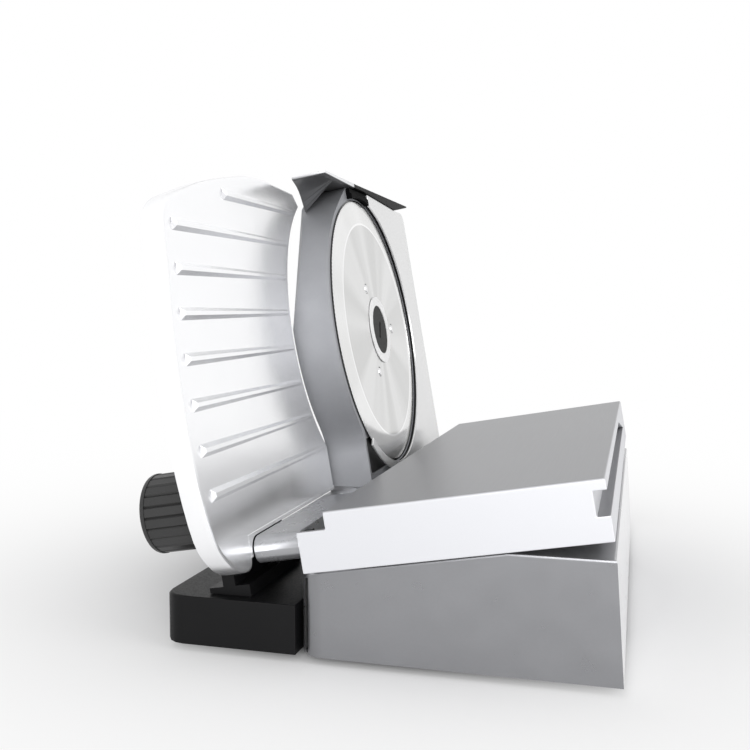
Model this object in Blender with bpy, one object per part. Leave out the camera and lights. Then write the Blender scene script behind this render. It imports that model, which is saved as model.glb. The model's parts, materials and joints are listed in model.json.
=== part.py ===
"""Electric food slicer with a tilted blade, a thickness plate moved by a cam knob, a food tray
that slides past the blade, and a worm drive behind the blade.

Units are metres. +X points to the tray side, +Y away from the person who slices, +Z up.
The head's pieces are modelled in the head frame: its origin is the blade's centre, its X is the
blade's axis, and the whole frame leans to the left. The base is modelled from the floor up, with
X and Y counted from the blade's centre.
"""
import math

import bmesh
import bpy
from mathutils import Matrix, Vector

# Clearances shared by all pieces
GAP = 0.0003
RUN_GAP = 0.0004
OVERRUN = 0.004

# Head frame
HEAD_TILT = math.radians(9.88)
BLADE_LIFT = 0.0087

# Blade
BLADE_RADIUS = 0.095
BLADE_THICKNESS = 0.0024
BLADE_BEVEL_WIDTH = 0.017
BLADE_LAND_WIDTH = 0.0022
BLADE_EDGE_DROP = 0.0018
TOOTH_DEPTH = 0.0009
TOOTH_COUNT = 216
POINTS_PER_TOOTH = 2
TEETH_PER_FACET = 2

# Blade hub, lock and screws
HUB_RADIUS = 0.040
HUB_THICKNESS = 0.0033
HUB_TUBE_RADIUS = 0.013
HUB_TUBE_LENGTH = 0.012
LOCK_RADIUS = 0.0175
LOCK_STAND = 0.0005
LOCK_STEM_RADIUS = 0.005
LOCK_STEM_LENGTH = 0.003
LOCK_SLOT_WIDTH = 0.0024
LOCK_SLOT_LENGTH = 0.013
LOCK_SLOT_DEPTH = 0.0012
LOCK_SLOT_ANGLE = math.radians(60.0)
HUB_RING_RADIUS = 0.0243
HUB_RING_THICKNESS = 0.0006
BLADE_SCREW_CIRCLE = 0.0347
BLADE_SCREW_HEAD_RADIUS = 0.0034
BLADE_SCREW_CHAMFER = 0.001
BLADE_SCREW_HEAD_HEIGHT = 0.0028
BLADE_SCREW_RADIUS = 0.002
BLADE_SCREW_COUNT = 3

# Worm drive
GEAR_MODULE = 0.0015
GEAR_TEETH = 50
GEAR_WIDTH = 0.009
GEAR_STANDOFF = 0.0015
WORM_PITCH_RADIUS = 0.006
WORM_TURNS = 6
WORM_STEPS = 16
TOOTH_TIP_SHARE = 0.25
TOOTH_ROOT_SHARE = 0.55
MESH_GAP = 0.0004
GEAR_SHAFT_RADIUS = 0.008
GEAR_PIVOT_RADIUS = 0.005
GEAR_PIVOT_LENGTH = 0.004

# Blade housing
HOUSING_MARGIN = 0.004
HOUSING_WALL = 0.003
HOUSING_BACK = -0.030
HOUSING_FRONT = -0.0025
HOUSING_NEAR_INSET = 0.026
HOUSING_FAR_REACH = 0.034
HOUSING_SHOULDER = -0.020
HOUSING_CREST = 0.0041
HOUSING_CREST_MIDDLE = 0.0037
HOUSING_CREST_LOW = -0.0009
TOP_MIDDLE_PLACE = 0.020
TOP_LOW_INSET = 0.029
HOUSING_CORNER = 0.008
HOUSING_WEB = 0.008
HOUSING_CAVITY_INSET = 0.009
HOUSING_BOSS_RADIUS = 0.016
HOUSING_SEAT_DEPTH = 0.0048
NECK_BEND_RADIUS = 0.036
CHAMFER_ANGLE = math.radians(145.5)
CHAMFER_REACH = 0.0137
CHAMFER_DEPTH = 0.008
POCKET_CORNER = 0.004

# Plate in front of the housing, with the arm that runs under the blade
PLATE_THICKNESS = 0.0014
PLATE_MARGIN = 0.0018
PLATE_TOP_PLACE = 0.024
PLATE_ARM_REACH = 0.004
ARM_END_ANGLE = math.radians(228.0)

# Disc behind the blade
BACKING_THICKNESS = 0.003
BACKING_HOLE_RADIUS = 0.042

# Stepped block above the blade
INSERT_LOWER_STAND = 0.0016
INSERT_UPPER_STAND = 0.0004
INSERT_STEP_HEIGHT = 0.0035
INSERT_BLADE_GAP = 0.002

# Hood and cap on top
HOOD_NEAR = -0.078
HOOD_EDGE_THICKNESS = 0.002
HOOD_EDGE_RISE = 0.0008
HOOD_COVE_END = -0.048
HOOD_COVE_SAG = 0.005
HOOD_LEFT_FAR = -0.031
HOOD_LEFT_NEAR = -0.021
ROOF_RIGHT = 0.0025
HOOD_STRIP = 0.0055
ROOF_THICKNESS = 0.0031
ROOF_LEFT = -0.031
ROOF_START = -0.0115
ROOF_END_REACH = 0.0156
ROOF_TIP_HEIGHT = 0.0012

# Rear cover, motor and switch
COVER_BOSS_RADIUS = 0.045
COVER_BOSS_BACK = -0.0465
COVER_BACK = -0.064
COVER_WALL = 0.003
COVER_NEAR = 0.030
COVER_FAR_INSET = 0.001
COVER_BOTTOM = -0.078
COVER_TOP = 0.060
COVER_CORNER = 0.008
WORM_BOX_NEAR = -0.026
WORM_BOX_HALF = 0.0115
PIVOT_BOSS_RADIUS = 0.010
COVER_SCREW_INSET = 0.0085
COVER_SCREW_RADIUS = 0.002
COVER_SCREW_HEAD_RADIUS = 0.004
COVER_SCREW_HEAD_HEIGHT = 0.0025
COVER_SCREW_GRIP = 0.005
COVER_COLUMN_RADIUS = 0.005
MOTOR_RADIUS = 0.022
MOTOR_WALL = 0.004
MOTOR_LENGTH = 0.066
MOTOR_POCKET_NEAR = 0.040
MOTOR_POCKET_WALL = 0.004
MOTOR_MOUNT_THICKNESS = 0.003
MOTOR_MOUNT_HEIGHT = 0.040
MOTOR_CAP_THICKNESS = 0.003
ROTOR_RADIUS = 0.0165
ROTOR_END_SPACE = 0.006
ROTOR_SLOTS = 12
ROTOR_SLOT_DEPTH = 0.0012
WORM_SHAFT_RADIUS = 0.0038
WORM_BEARING_WIDTH = 0.005
FAN_RADIUS = 0.019
FAN_HUB_RADIUS = 0.007
FAN_WIDTH = 0.006
FAN_DISC = 0.0015
FAN_BLADES = 7
FAN_BLADE_THICKNESS = 0.0015
SWITCH_PLACE_Y = 0.081
SWITCH_PLACE_Z = 0.018
SWITCH_LENGTH = 0.024
SWITCH_WIDTH = 0.014
SWITCH_RIM = 0.003
SWITCH_RIM_HEIGHT = 0.002
ROCKER_TILT = math.radians(7.0)
ROCKER_STAND = 0.0025
ROCKER_DEPTH = 0.008
ROCKER_PLAY = 0.001
ROCKER_PIVOT = 0.0015
ROCKER_DISH = 0.0005
GLAND_RADIUS = 0.0075
GLAND_FLANGE_RADIUS = 0.010
GLAND_FLANGE = 0.002
GLAND_LENGTH = 0.014
GLAND_BORE_RADIUS = 0.0035
GLAND_RINGS = 3
GLAND_RING_DEPTH = 0.001
GLAND_GROOVE_SHARE = 0.25
GLAND_PLACE_X = -0.047
GLAND_PLACE_Z = -0.055

# Base
FOOT_HEIGHT = 0.0037
FOOT_RADIUS = 0.013
FOOT_TAPER = 0.002
FOOT_INSET = 0.024
BASE_TOP = 0.0645
PLINTH_TOP = 0.0613
STEP_TOP = 0.058
SIDE_TOP = 0.030
BASE_FRONT_INSET = 0.041
BASE_BACK = 0.140
BASE_RIGHT = 0.176
BASE_FLARE = 0.004
BASE_LEFT = 0.018
PLINTH_LEFT = -0.014
SIDE_LEFT = -0.0576
STEP_FRONT = -0.1045
BASE_WALL = 0.003
BASE_EDGE_ROUND = 0.0015
BASE_CORNER = 0.014
CUT_CORNER_SHARE = 0.25
SIDE_CORNER = 0.012
BOTTOM_PLATE = 0.0015
PILLAR_RADIUS = 0.005
PILLAR_INSET = 0.022

# Carriage with the food tray
TRAY_LEFT = 0.019
TRAY_RIGHT = 0.157
TRAY_FRONT_INSET = 0.0356
TRAY_BACK = 0.1378
TRAY_RISE = 0.0057
TRAY_SHEET = 0.0025
TRAY_END_WALL = 0.003
TRAY_DEPTH = 0.030
TRAY_SKIRT = 0.009
TRAY_RIGHT_WALL = 0.009
TRAY_EDGE_ROUND = 0.0014
APRON_LEFT = 0.0036
SLOT_TOP = 0.0057
SLOT_HEIGHT = 0.0119
SLOT_DEPTH = 0.0065
SLOT_END_TOP = 0.035
SLOT_END_BOTTOM = 0.100
DECK_CLEARANCE = 0.0012
ROD_RADIUS = 0.006
ROD_PLACE = 0.085
ROD_DROP = 0.0167
ROD_BEARING_WALL = 0.006
ROD_BEARING_LENGTH = 0.020
ROD_BEARING_FRONT = -0.024
ROD_BEARING_REAR = 0.105
GLIDE_LEFT = 0.024
GLIDE_WIDTH = 0.012
GLIDE_HEIGHT = 0.006
GLIDE_POST_NEAR = -0.020
GLIDE_POST_LENGTH = 0.140

# Thickness plate
FENCE_TRAVEL = 0.027
FENCE_FACE_OPEN = -0.0275
FENCE_THICKNESS = 0.011
FENCE_CLEARANCE = 0.006
FENCE_REACH = 0.270
FENCE_TOP_DROP = 0.002
FENCE_CORNER_DROP = 0.003
HOOD_CLEARANCE = 0.0008
FENCE_LOW_REACH = 0.012
FENCE_SILL_RISE = 0.0165
FENCE_LOW_FAR = -0.077
FENCE_LOBE_INSET = 0.049
FENCE_EDGE_ROUND = 0.0025
FENCE_LOBE_ROUND = 0.006
FENCE_RIM = 0.004
FENCE_POCKET = 0.006
FENCE_POCKET_DRAFT = 0.00075
FENCE_TOP_SHARES = (
    (0.396, 1.0), (0.504, 0.990), (0.619, 0.942), (0.737, 0.883), (0.844, 0.806),
    (0.922, 0.740), (0.956, 0.641), (0.970, 0.408), (0.993, 0.068),
)
FENCE_LOW_SHARES = (
    (1.0, 0.256), (0.993, 0.530), (0.970, 0.786), (0.933, 0.906), (0.889, 0.974), (0.845, 1.0),
)
RIB_COUNT = 8
RIB_TOP_DROP = 0.0177
RIB_LOW_RISE = 0.029
RIB_WIDTH = 0.0066
RIB_CREST = 0.0022
RIB_HEIGHT = 0.0021
RIB_SLOPE = 0.002
RIB_END_SHARE = 0.6
RIB_INSET = 0.009
RIB_END_MARGIN = 0.006

# Cam drive of the thickness plate
KNOB_INSET = 0.050
KNOB_RISE = 0.0073
KNOB_RADIUS = 0.021
KNOB_LEFT = -0.078
KNOB_RIGHT = -0.048
KNOB_END = 0.003
KNOB_DOME = 0.0015
KNOB_RIM = 0.0028
KNOB_RIM_STAND = 0.0003
KNOB_FLUTES = 22
KNOB_FLUTE_DEPTH = 0.0009
KNOB_FLUTE_SHARES = ((0.0, 0.0), (0.7, 0.0), (0.85, 1.0))
CARRIER_TUBE_RADIUS = 0.0135
CARRIER_BORE_RADIUS = 0.0085
CARRIER_TUBE_LEFT = -0.0738
CARRIER_FLANGE = 0.004
CARRIER_HALF_WIDTH = 0.016
CARRIER_RISE = 0.034
CAM_RADIUS = 0.008
CAM_LEFT = -0.0747
CAM_RIGHT = -0.041
CAM_TURN = math.radians(300.0)
CAM_GROOVE_WIDTH = 0.0046
CAM_GROOVE_DEPTH = 0.0026
CAM_STEPS = 32
PIN_RADIUS = 0.0015
PIN_INSET = 0.0035
PIN_TIP_GAP = 0.0005
POST_RIGHT = -0.040
POST_FLANGE = 0.007
POST_COLLAR_RADIUS = 0.021
POST_SLEEVE_WALL = 0.003
POST_FOOT = 0.004
POST_FOOT_SPREAD = 0.008
GUIDE_SPACING = 0.065
GUIDE_RISE = 0.0043
GUIDE_RADIUS = 0.004
GUIDE_LEFT = -0.074
GUIDE_BOSS_RADIUS = 0.009
GUIDE_BOSS_LENGTH = 0.008

# Ledge below the thickness plate
LEDGE_NEAR_INSET = 0.050
LEDGE_LEFT = -0.0272
LEDGE_RIGHT = -0.002
LEDGE_GAP = 0.0005
LEDGE_HEIGHT = 0.0148
LEDGE_NOSE_RADIUS = 0.0072
PLUG_LENGTH = 0.014
PLUG_RIGHT = 0.0023
PLUG_INSET = 0.0012

# Facets of round pieces
FINE_STEPS = 60
ROUND_STEPS = 24
SMALL_STEPS = 12
CORNER_STEPS = 4
HANDLE_STEPS = 3
SMOOTH_ANGLE = math.radians(35.0)

# Values worked out from the sizes above
BLADE_HEIGHT = PLINTH_TOP + BLADE_LIFT + BLADE_RADIUS
BLADE_BEVEL_RADIUS = BLADE_RADIUS - BLADE_BEVEL_WIDTH
HOUSING_RADIUS = BLADE_RADIUS + HOUSING_MARGIN
HOUSING_NEAR = HOUSING_NEAR_INSET - HOUSING_RADIUS
HOUSING_FAR = HOUSING_RADIUS + HOUSING_FAR_REACH
HOUSING_TOP = HOUSING_RADIUS + HOUSING_CREST
HOUSING_TOP_MIDDLE = HOUSING_RADIUS + HOUSING_CREST_MIDDLE
HOUSING_TOP_LOW = HOUSING_RADIUS + HOUSING_CREST_LOW
TOP_LOW_PLACE = HOUSING_FAR - TOP_LOW_INSET
HOUSING_CAVITY_RADIUS = HOUSING_RADIUS - HOUSING_CAVITY_INSET
PLATE_OPENING_RADIUS = BLADE_RADIUS + PLATE_MARGIN
PLATE_BOTTOM = HOUSING_RADIUS + PLATE_ARM_REACH
ROOF_TOP = HOUSING_TOP + ROOF_THICKNESS
ROOF_END = HOUSING_FAR + ROOF_END_REACH
HOOD_EDGE_HIGH = ROOF_TOP + HOOD_EDGE_RISE
HOOD_EDGE_LOW = HOOD_EDGE_HIGH - HOOD_EDGE_THICKNESS
COVER_FAR = HOUSING_FAR - COVER_FAR_INSET
FENCE_ARC_RADIUS = HOUSING_RADIUS + FENCE_CLEARANCE
FENCE_TOP = FENCE_ARC_RADIUS - FENCE_TOP_DROP
FENCE_LOW = FENCE_ARC_RADIUS + FENCE_LOW_REACH
FENCE_SILL = FENCE_LOW - FENCE_SILL_RISE
FENCE_LOBE = FENCE_LOBE_INSET - FENCE_REACH
RIB_FIRST = FENCE_TOP - RIB_TOP_DROP
RIB_PITCH = (RIB_FIRST + FENCE_SILL - RIB_LOW_RISE) / (RIB_COUNT - 1)
RIB_END_RADIUS = FENCE_ARC_RADIUS + RIB_END_MARGIN
TRAY_FRONT = TRAY_FRONT_INSET - FENCE_REACH
TRAY_TOP = TRAY_RISE - BLADE_RADIUS
BASE_FRONT = BASE_FRONT_INSET - FENCE_REACH
KNOB_PLACE_Y = KNOB_INSET - FENCE_REACH
KNOB_PLACE_Z = TRAY_TOP + KNOB_RISE
GUIDE_PLACE_Y = KNOB_PLACE_Y + GUIDE_SPACING
GUIDE_PLACE_Z = TRAY_TOP + GUIDE_RISE
LEDGE_NEAR = LEDGE_NEAR_INSET - FENCE_REACH
LEDGE_TOP = -FENCE_SILL - LEDGE_GAP
BLADE_BACK = -BLADE_THICKNESS
HUB_FRONT = BLADE_BACK - GAP
HUB_BACK = HUB_FRONT - HUB_THICKNESS
HUB_TUBE_END = HUB_BACK - HUB_TUBE_LENGTH
GEAR_PITCH_RADIUS = GEAR_MODULE * GEAR_TEETH / 2
WORM_PITCH = math.pi * GEAR_MODULE
GEAR_OUTER_RADIUS = GEAR_PITCH_RADIUS + GEAR_MODULE
WORM_OUTER_RADIUS = WORM_PITCH_RADIUS + GEAR_MODULE
WORM_DROP = GEAR_PITCH_RADIUS + WORM_PITCH_RADIUS
GEAR_ROOT_RADIUS = WORM_DROP - WORM_OUTER_RADIUS - MESH_GAP
WORM_ROOT_RADIUS = WORM_DROP - GEAR_OUTER_RADIUS - MESH_GAP
GEAR_FRONT = HOUSING_BACK - GEAR_STANDOFF
GEAR_BACK = GEAR_FRONT - GEAR_WIDTH
GEAR_MIDDLE = (GEAR_FRONT + GEAR_BACK) / 2
WORM_LEAD_ANGLE = math.atan(WORM_PITCH / (2 * math.pi * WORM_PITCH_RADIUS))
HOUSING_WEB_FRONT = HOUSING_BACK + HOUSING_WEB
HOUSING_SEAT = HOUSING_FRONT - HOUSING_SEAT_DEPTH
POCKET_RADIUS = HOUSING_RADIUS - HOUSING_WALL
POCKET_NEAR = HOUSING_NEAR + HOUSING_WALL
BACKING_BACK = HOUSING_SEAT + GAP
BASE_BOTTOM = FOOT_HEIGHT + GAP
TRAY_BOTTOM = TRAY_TOP - TRAY_DEPTH
TRAY_UNDERSIDE = TRAY_TOP - TRAY_SHEET
DECK = TRAY_BOTTOM - DECK_CLEARANCE
ROD_HEIGHT = TRAY_TOP - ROD_DROP
FENCE_BACK_OPEN = FENCE_FACE_OPEN - FENCE_THICKNESS
FENCE_POCKET_FLOOR = FENCE_BACK_OPEN + FENCE_POCKET
CAM_LEAD = FENCE_TRAVEL * 2 * math.pi / CAM_TURN
PIN_PLACE = CARRIER_TUBE_LEFT + PIN_INSET
POST_LEFT = POST_RIGHT - POST_FLANGE
SLEEVE_BORE_RADIUS = CARRIER_TUBE_RADIUS + RUN_GAP
SLEEVE_RADIUS = SLEEVE_BORE_RADIUS + POST_SLEEVE_WALL
MOTOR_NEAR = MOTOR_POCKET_NEAR + GAP + MOTOR_MOUNT_THICKNESS + GAP
MOTOR_FAR = MOTOR_NEAR + MOTOR_LENGTH
MOTOR_CAP_FAR = MOTOR_FAR + GAP + MOTOR_CAP_THICKNESS
HOUSING_FLOOR = PLINTH_TOP + GAP - BLADE_HEIGHT


def clear_scene():
    """Remove what is in the scene, so that the script can be run again."""
    for item in list(bpy.data.objects):
        bpy.data.objects.remove(item, do_unlink=True)


def make_material(name, colour, roughness, metallic):
    """One plain Principled material."""
    material = bpy.data.materials.new(name)
    material.use_nodes = True
    shader = material.node_tree.nodes["Principled BSDF"]
    shader.inputs["Base Color"].default_value = (*colour, 1.0)
    shader.inputs["Roughness"].default_value = roughness
    shader.inputs["Metallic"].default_value = metallic
    material.diffuse_color = (*colour, 1.0)
    return material


def make_empty(name, parent, location, tilt):
    """A frame that pieces hang from."""
    empty = bpy.data.objects.new(name, None)
    bpy.context.collection.objects.link(empty)
    empty.parent = parent
    empty.location = location
    empty.rotation_euler = (0.0, -tilt, 0.0)
    return empty


def make_object(name, shape, material, parent):
    """Turn a bmesh into a named object."""
    bmesh.ops.recalc_face_normals(shape, faces=shape.faces)
    mesh = bpy.data.meshes.new(name)
    shape.to_mesh(mesh)
    shape.free()
    mesh.materials.append(material)
    item = bpy.data.objects.new(name, mesh)
    bpy.context.collection.objects.link(item)
    item.parent = parent
    return item


def combine(body, tool, operation):
    """Apply a Boolean between two objects of the same frame and drop the tool."""
    bpy.context.view_layer.update()
    modifier = body.modifiers.new("combine", "BOOLEAN")
    modifier.solver = "EXACT"
    modifier.operation = operation
    modifier.object = tool
    graph = bpy.context.evaluated_depsgraph_get()
    mesh = bpy.data.meshes.new_from_object(body.evaluated_get(graph))
    body.modifiers.clear()
    body.data = mesh
    bpy.data.objects.remove(tool, do_unlink=True)


def cut(body, shape, parent=None):
    """Subtract a bmesh, given in the body's frame or in another one."""
    tool = make_object("cutter", shape, body.data.materials[0], parent or body.parent)
    combine(body, tool, "DIFFERENCE")


def join(body, shape, parent=None):
    """Unite the body with a bmesh."""
    tool = make_object("addition", shape, body.data.materials[0], parent or body.parent)
    combine(body, tool, "UNION")


def round_edges(body, width, segments, chosen):
    """Round the edges whose two ends both pass a test."""
    shape = bmesh.new()
    shape.from_mesh(body.data)
    edges = [edge for edge in shape.edges if all(chosen(vertex.co) for vertex in edge.verts)]
    edges = [edge for edge in edges if edge.calc_face_angle(0.0) > SMOOTH_ANGLE]
    bmesh.ops.bevel(
        shape, geom=edges, offset=width, segments=segments, profile=0.5,
        affect="EDGES", clamp_overlap=True,
    )
    shape.to_mesh(body.data)
    shape.free()


def set_pivot(body, place):
    """Move the object's origin to a point of its parent's frame."""
    body.data.transform(Matrix.Translation(-Vector(place)))
    body.location = place


def shade(body):
    """Smooth shading with sharp edges kept."""
    body.data.shade_smooth()
    body.data.set_sharp_from_angle(angle=SMOOTH_ANGLE)


def on_axis(axis, first, second, along):
    """A point from two outline values and one along the axis."""
    if axis == "X":
        return Vector((along, first, second))
    if axis == "Y":
        return Vector((first, along, second))
    return Vector((first, second, along))


def prism(outline, start, end, axis):
    """A closed prism of an outline, from start to end along an axis."""
    shape = bmesh.new()
    low = [shape.verts.new(on_axis(axis, u, v, start)) for u, v in outline]
    high = [shape.verts.new(on_axis(axis, u, v, end)) for u, v in outline]
    shape.faces.new(low)
    shape.faces.new(high)
    count = len(outline)
    for index in range(count):
        after = (index + 1) % count
        shape.faces.new((low[index], low[after], high[after], high[index]))
    bmesh.ops.recalc_face_normals(shape, faces=shape.faces)
    return shape


def box(low, high):
    """A box between two corners."""
    outline = [(low[0], low[1]), (high[0], low[1]), (high[0], high[1]), (low[0], high[1])]
    return prism(outline, low[2], high[2], "Z")


def arc(centre, radius, start, end, steps):
    """Points of an arc, both ends included."""
    points = []
    for index in range(steps + 1):
        angle = start + (end - start) * index / steps
        points.append((centre[0] + radius * math.cos(angle), centre[1] + radius * math.sin(angle)))
    return points


def circle(centre, radius, steps):
    """Points of a whole circle."""
    return arc(centre, radius, 0.0, 2 * math.pi, steps)[:-1]


def rounded(corners, steps=CORNER_STEPS):
    """An outline from (u, v, radius) corners, each rounded with an arc."""
    outline = []
    count = len(corners)
    for index, (u, v, radius) in enumerate(corners):
        here = Vector((u, v))
        if radius == 0:
            outline.append((u, v))
            continue
        before = Vector(corners[index - 1][:2]) - here
        after = Vector(corners[(index + 1) % count][:2]) - here
        half = before.angle(after) / 2
        centre = here + (before.normalized() + after.normalized()).normalized() * (
            radius / math.sin(half))
        reach = radius / math.tan(half)
        first = here + before.normalized() * reach - centre
        last = here + after.normalized() * reach - centre
        start = math.atan2(first.y, first.x)
        sweep = math.atan2(last.y, last.x) - start
        sweep = (sweep + math.pi) % (2 * math.pi) - math.pi
        outline.extend(arc(centre, radius, start, start + sweep, steps))
    return outline


def rounded_box(low, high, radius, start, end, axis):
    """A prism of a rectangle with round corners."""
    corners = [
        (low[0], low[1], radius), (high[0], low[1], radius),
        (high[0], high[1], radius), (low[0], high[1], radius),
    ]
    return prism(rounded(corners), start, end, axis)


def smooth_through(points, steps):
    """A Catmull-Rom curve through points, ends included."""
    padded = [points[0]] + list(points) + [points[-1]]
    result = []
    for index in range(1, len(padded) - 2):
        a, b, c, d = (Vector(padded[index + shift]) for shift in (-1, 0, 1, 2))
        for step in range(steps):
            t = step / steps
            value = 2 * b + (c - a) * t + (2 * a - 5 * b + 4 * c - d) * t ** 2
            value = value + (3 * b - a - 3 * c + d) * t ** 3
            result.append(tuple(value / 2))
    result.append(tuple(points[-1]))
    return result


def turned(profile, centre, axis, steps):
    """A closed solid turned about an axis.

    The profile is a closed loop of (radius, place along the axis), or an open one whose two
    ends lie on the axis.
    """
    shape = bmesh.new()
    rings = []
    for radius, along in profile:
        if radius == 0:
            point = shape.verts.new(on_axis(axis, centre[0], centre[1], along))
            rings.append([point] * steps)
            continue
        points = circle(centre, radius, steps)
        rings.append([shape.verts.new(on_axis(axis, u, v, along)) for u, v in points])
    pairs = list(zip(rings, rings[1:]))
    if profile[0][0] > 0:
        pairs.append((rings[-1], rings[0]))
    for lower, upper in pairs:
        for index in range(steps):
            after = (index + 1) % steps
            corners = [lower[index], lower[after], upper[after], upper[index]]
            loop = list(dict.fromkeys(corners))
            if len(loop) > 2:
                shape.faces.new(loop)
    bmesh.ops.recalc_face_normals(shape, faces=shape.faces)
    return shape


def rod(radius, start, end, centre, axis, steps):
    """A plain cylinder."""
    return prism(circle(centre, radius, steps), start, end, axis)


def tube(outer, inner, start, end, centre, axis, steps):
    """A plain tube."""
    profile = [(inner, start), (outer, start), (outer, end), (inner, end)]
    return turned(profile, centre, axis, steps)


def near(value, target):
    """Whether a coordinate lies on a plane, within the meshes' own precision."""
    return abs(value - target) < GAP / 2


def deck_height(x):
    """Height of the sloping deck above the floor: it runs parallel to the tray."""
    return BLADE_HEIGHT + (DECK + math.sin(HEAD_TILT) * x) / math.cos(HEAD_TILT)


def deck_place(height):
    """Where the sloping deck reaches a height."""
    return ((height - BLADE_HEIGHT) * math.cos(HEAD_TILT) - DECK) / math.sin(HEAD_TILT)


def base_section(inset, bottom):
    """Section of the base's tray side, seen from the front."""
    left = BASE_LEFT + inset
    return [
        (left, bottom),
        (BASE_RIGHT + BASE_FLARE - inset, bottom),
        (BASE_RIGHT - inset, BASE_TOP - inset),
        (deck_place(BASE_TOP), BASE_TOP - inset),
        (left, deck_height(left) - inset),
    ]


def plinth_section(inset, bottom):
    """Side view of the plinth that carries the housing, with its lower front step."""
    return [
        (STEP_FRONT + inset, bottom),
        (BASE_BACK - inset, bottom),
        (BASE_BACK - inset, PLINTH_TOP - inset),
        (HOUSING_NEAR + inset, PLINTH_TOP - inset),
        (HOUSING_NEAR + inset, STEP_TOP - inset),
        (STEP_FRONT + inset, STEP_TOP - inset),
    ]


def make_base_body(root, silver):
    """Cast base: sloping deck under the tray, flat right part, plinth under the housing."""
    shape = prism(base_section(0.0, BASE_BOTTOM), BASE_FRONT, BASE_BACK, "Y")
    body = make_object("base_body", shape, silver, root)
    round_edges(body, BASE_CORNER, CORNER_STEPS + 2, lambda place: (
        near(place.x, BASE_LEFT) and near(place.y, BASE_FRONT)))
    low_edge = deck_height(BASE_LEFT) - GAP
    round_edges(body, BASE_EDGE_ROUND, 2, lambda place: place.z > low_edge)
    join(body, prism(plinth_section(0.0, BASE_BOTTOM), PLINTH_LEFT, BASE_LEFT, "X"))
    below = BASE_BOTTOM - OVERRUN
    inner = prism(base_section(BASE_WALL, below), BASE_FRONT + BASE_WALL, BASE_BACK - BASE_WALL, "Y")
    cut(body, inner)
    inner = prism(plinth_section(BASE_WALL, below), PLINTH_LEFT + BASE_WALL, BASE_LEFT - BASE_WALL, "X")
    cut(body, inner)
    low = (BASE_LEFT - BASE_WALL - OVERRUN, STEP_FRONT + BASE_WALL, below)
    high = (BASE_LEFT + BASE_WALL + OVERRUN, BASE_BACK - BASE_WALL,
            deck_height(BASE_LEFT) - BASE_WALL - BASE_WALL)
    cut(body, box(low, high))
    for x, y in corner_places(BASE_LEFT, BASE_RIGHT, PILLAR_INSET):
        top = min(deck_height(x), BASE_TOP) - BASE_WALL / 2
        pillar = rod(PILLAR_RADIUS, BASE_BOTTOM + BOTTOM_PLATE + GAP, top, (x, y), "Z", SMALL_STEPS)
        join(body, pillar)
    shade(body)


def corner_places(left, right, inset):
    """Four places near the corners of a part of the base."""
    rows = (BASE_FRONT + inset, BASE_BACK - inset)
    return [(x, y) for y in rows for x in (left + inset, right - inset)]


def make_bottom_plate(root, steel):
    """Sheet that closes the base from below, inside its walls."""
    reach = BASE_WALL + GAP
    outline = [
        (BASE_LEFT + reach, BASE_FRONT + reach + BASE_CORNER * CUT_CORNER_SHARE),
        (BASE_LEFT + reach + BASE_CORNER * CUT_CORNER_SHARE, BASE_FRONT + reach),
        (BASE_RIGHT + BASE_FLARE - reach - GAP, BASE_FRONT + reach),
        (BASE_RIGHT + BASE_FLARE - reach - GAP, BASE_BACK - reach),
        (PLINTH_LEFT + reach, BASE_BACK - reach),
        (PLINTH_LEFT + reach, STEP_FRONT + reach),
        (BASE_LEFT + reach, STEP_FRONT + reach),
    ]
    body = make_object(
        "base_bottom_plate", prism(outline, BASE_BOTTOM, BASE_BOTTOM + BOTTOM_PLATE, "Z"), steel, root)
    shade(body)


def side_outline(inset):
    """Outline of the low part of the base, seen from above."""
    right = BASE_LEFT - GAP - inset
    inner = PLINTH_LEFT - GAP - inset
    step = STEP_FRONT - GAP - inset
    round_left = SIDE_CORNER - inset
    return rounded([
        (SIDE_LEFT + inset, BASE_FRONT + inset, round_left),
        (right, BASE_FRONT + inset, 0),
        (right, step, 0),
        (inner, step, 0),
        (inner, BASE_BACK - inset, 0),
        (SIDE_LEFT + inset, BASE_BACK - inset, round_left),
    ])


def make_side_tray(root, black):
    """Low black part of the base beside the plinth, open below."""
    shape = prism(side_outline(0.0), BASE_BOTTOM, SIDE_TOP, "Z")
    body = make_object("base_side_tray", shape, black, root)
    round_edges(body, BASE_EDGE_ROUND, 2, lambda place: (
        near(place.z, SIDE_TOP) and place.x < PLINTH_LEFT - BASE_WALL))
    cut(body, prism(side_outline(BASE_WALL), BASE_BOTTOM - OVERRUN, SIDE_TOP - BASE_WALL, "Z"))
    for y in (BASE_FRONT + FOOT_INSET, BASE_BACK - FOOT_INSET):
        centre = (SIDE_LEFT + FOOT_INSET, y)
        join(body, rod(FOOT_RADIUS, BASE_BOTTOM, SIDE_TOP - BASE_WALL / 2, centre, "Z", SMALL_STEPS))
    shade(body)


def make_feet(root, rubber):
    """Four feet: two under the low part, two under the bottom plate."""
    names = ("foot_front_left", "foot_front_right", "foot_rear_left", "foot_rear_right")
    profile = [(0, 0), (FOOT_RADIUS - FOOT_TAPER, 0), (FOOT_RADIUS, FOOT_HEIGHT), (0, FOOT_HEIGHT)]
    for name, place in zip(names, corner_places(SIDE_LEFT, BASE_RIGHT, FOOT_INSET)):
        shade(make_object(name, turned(profile, place, "Z", ROUND_STEPS), rubber, root))


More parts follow.
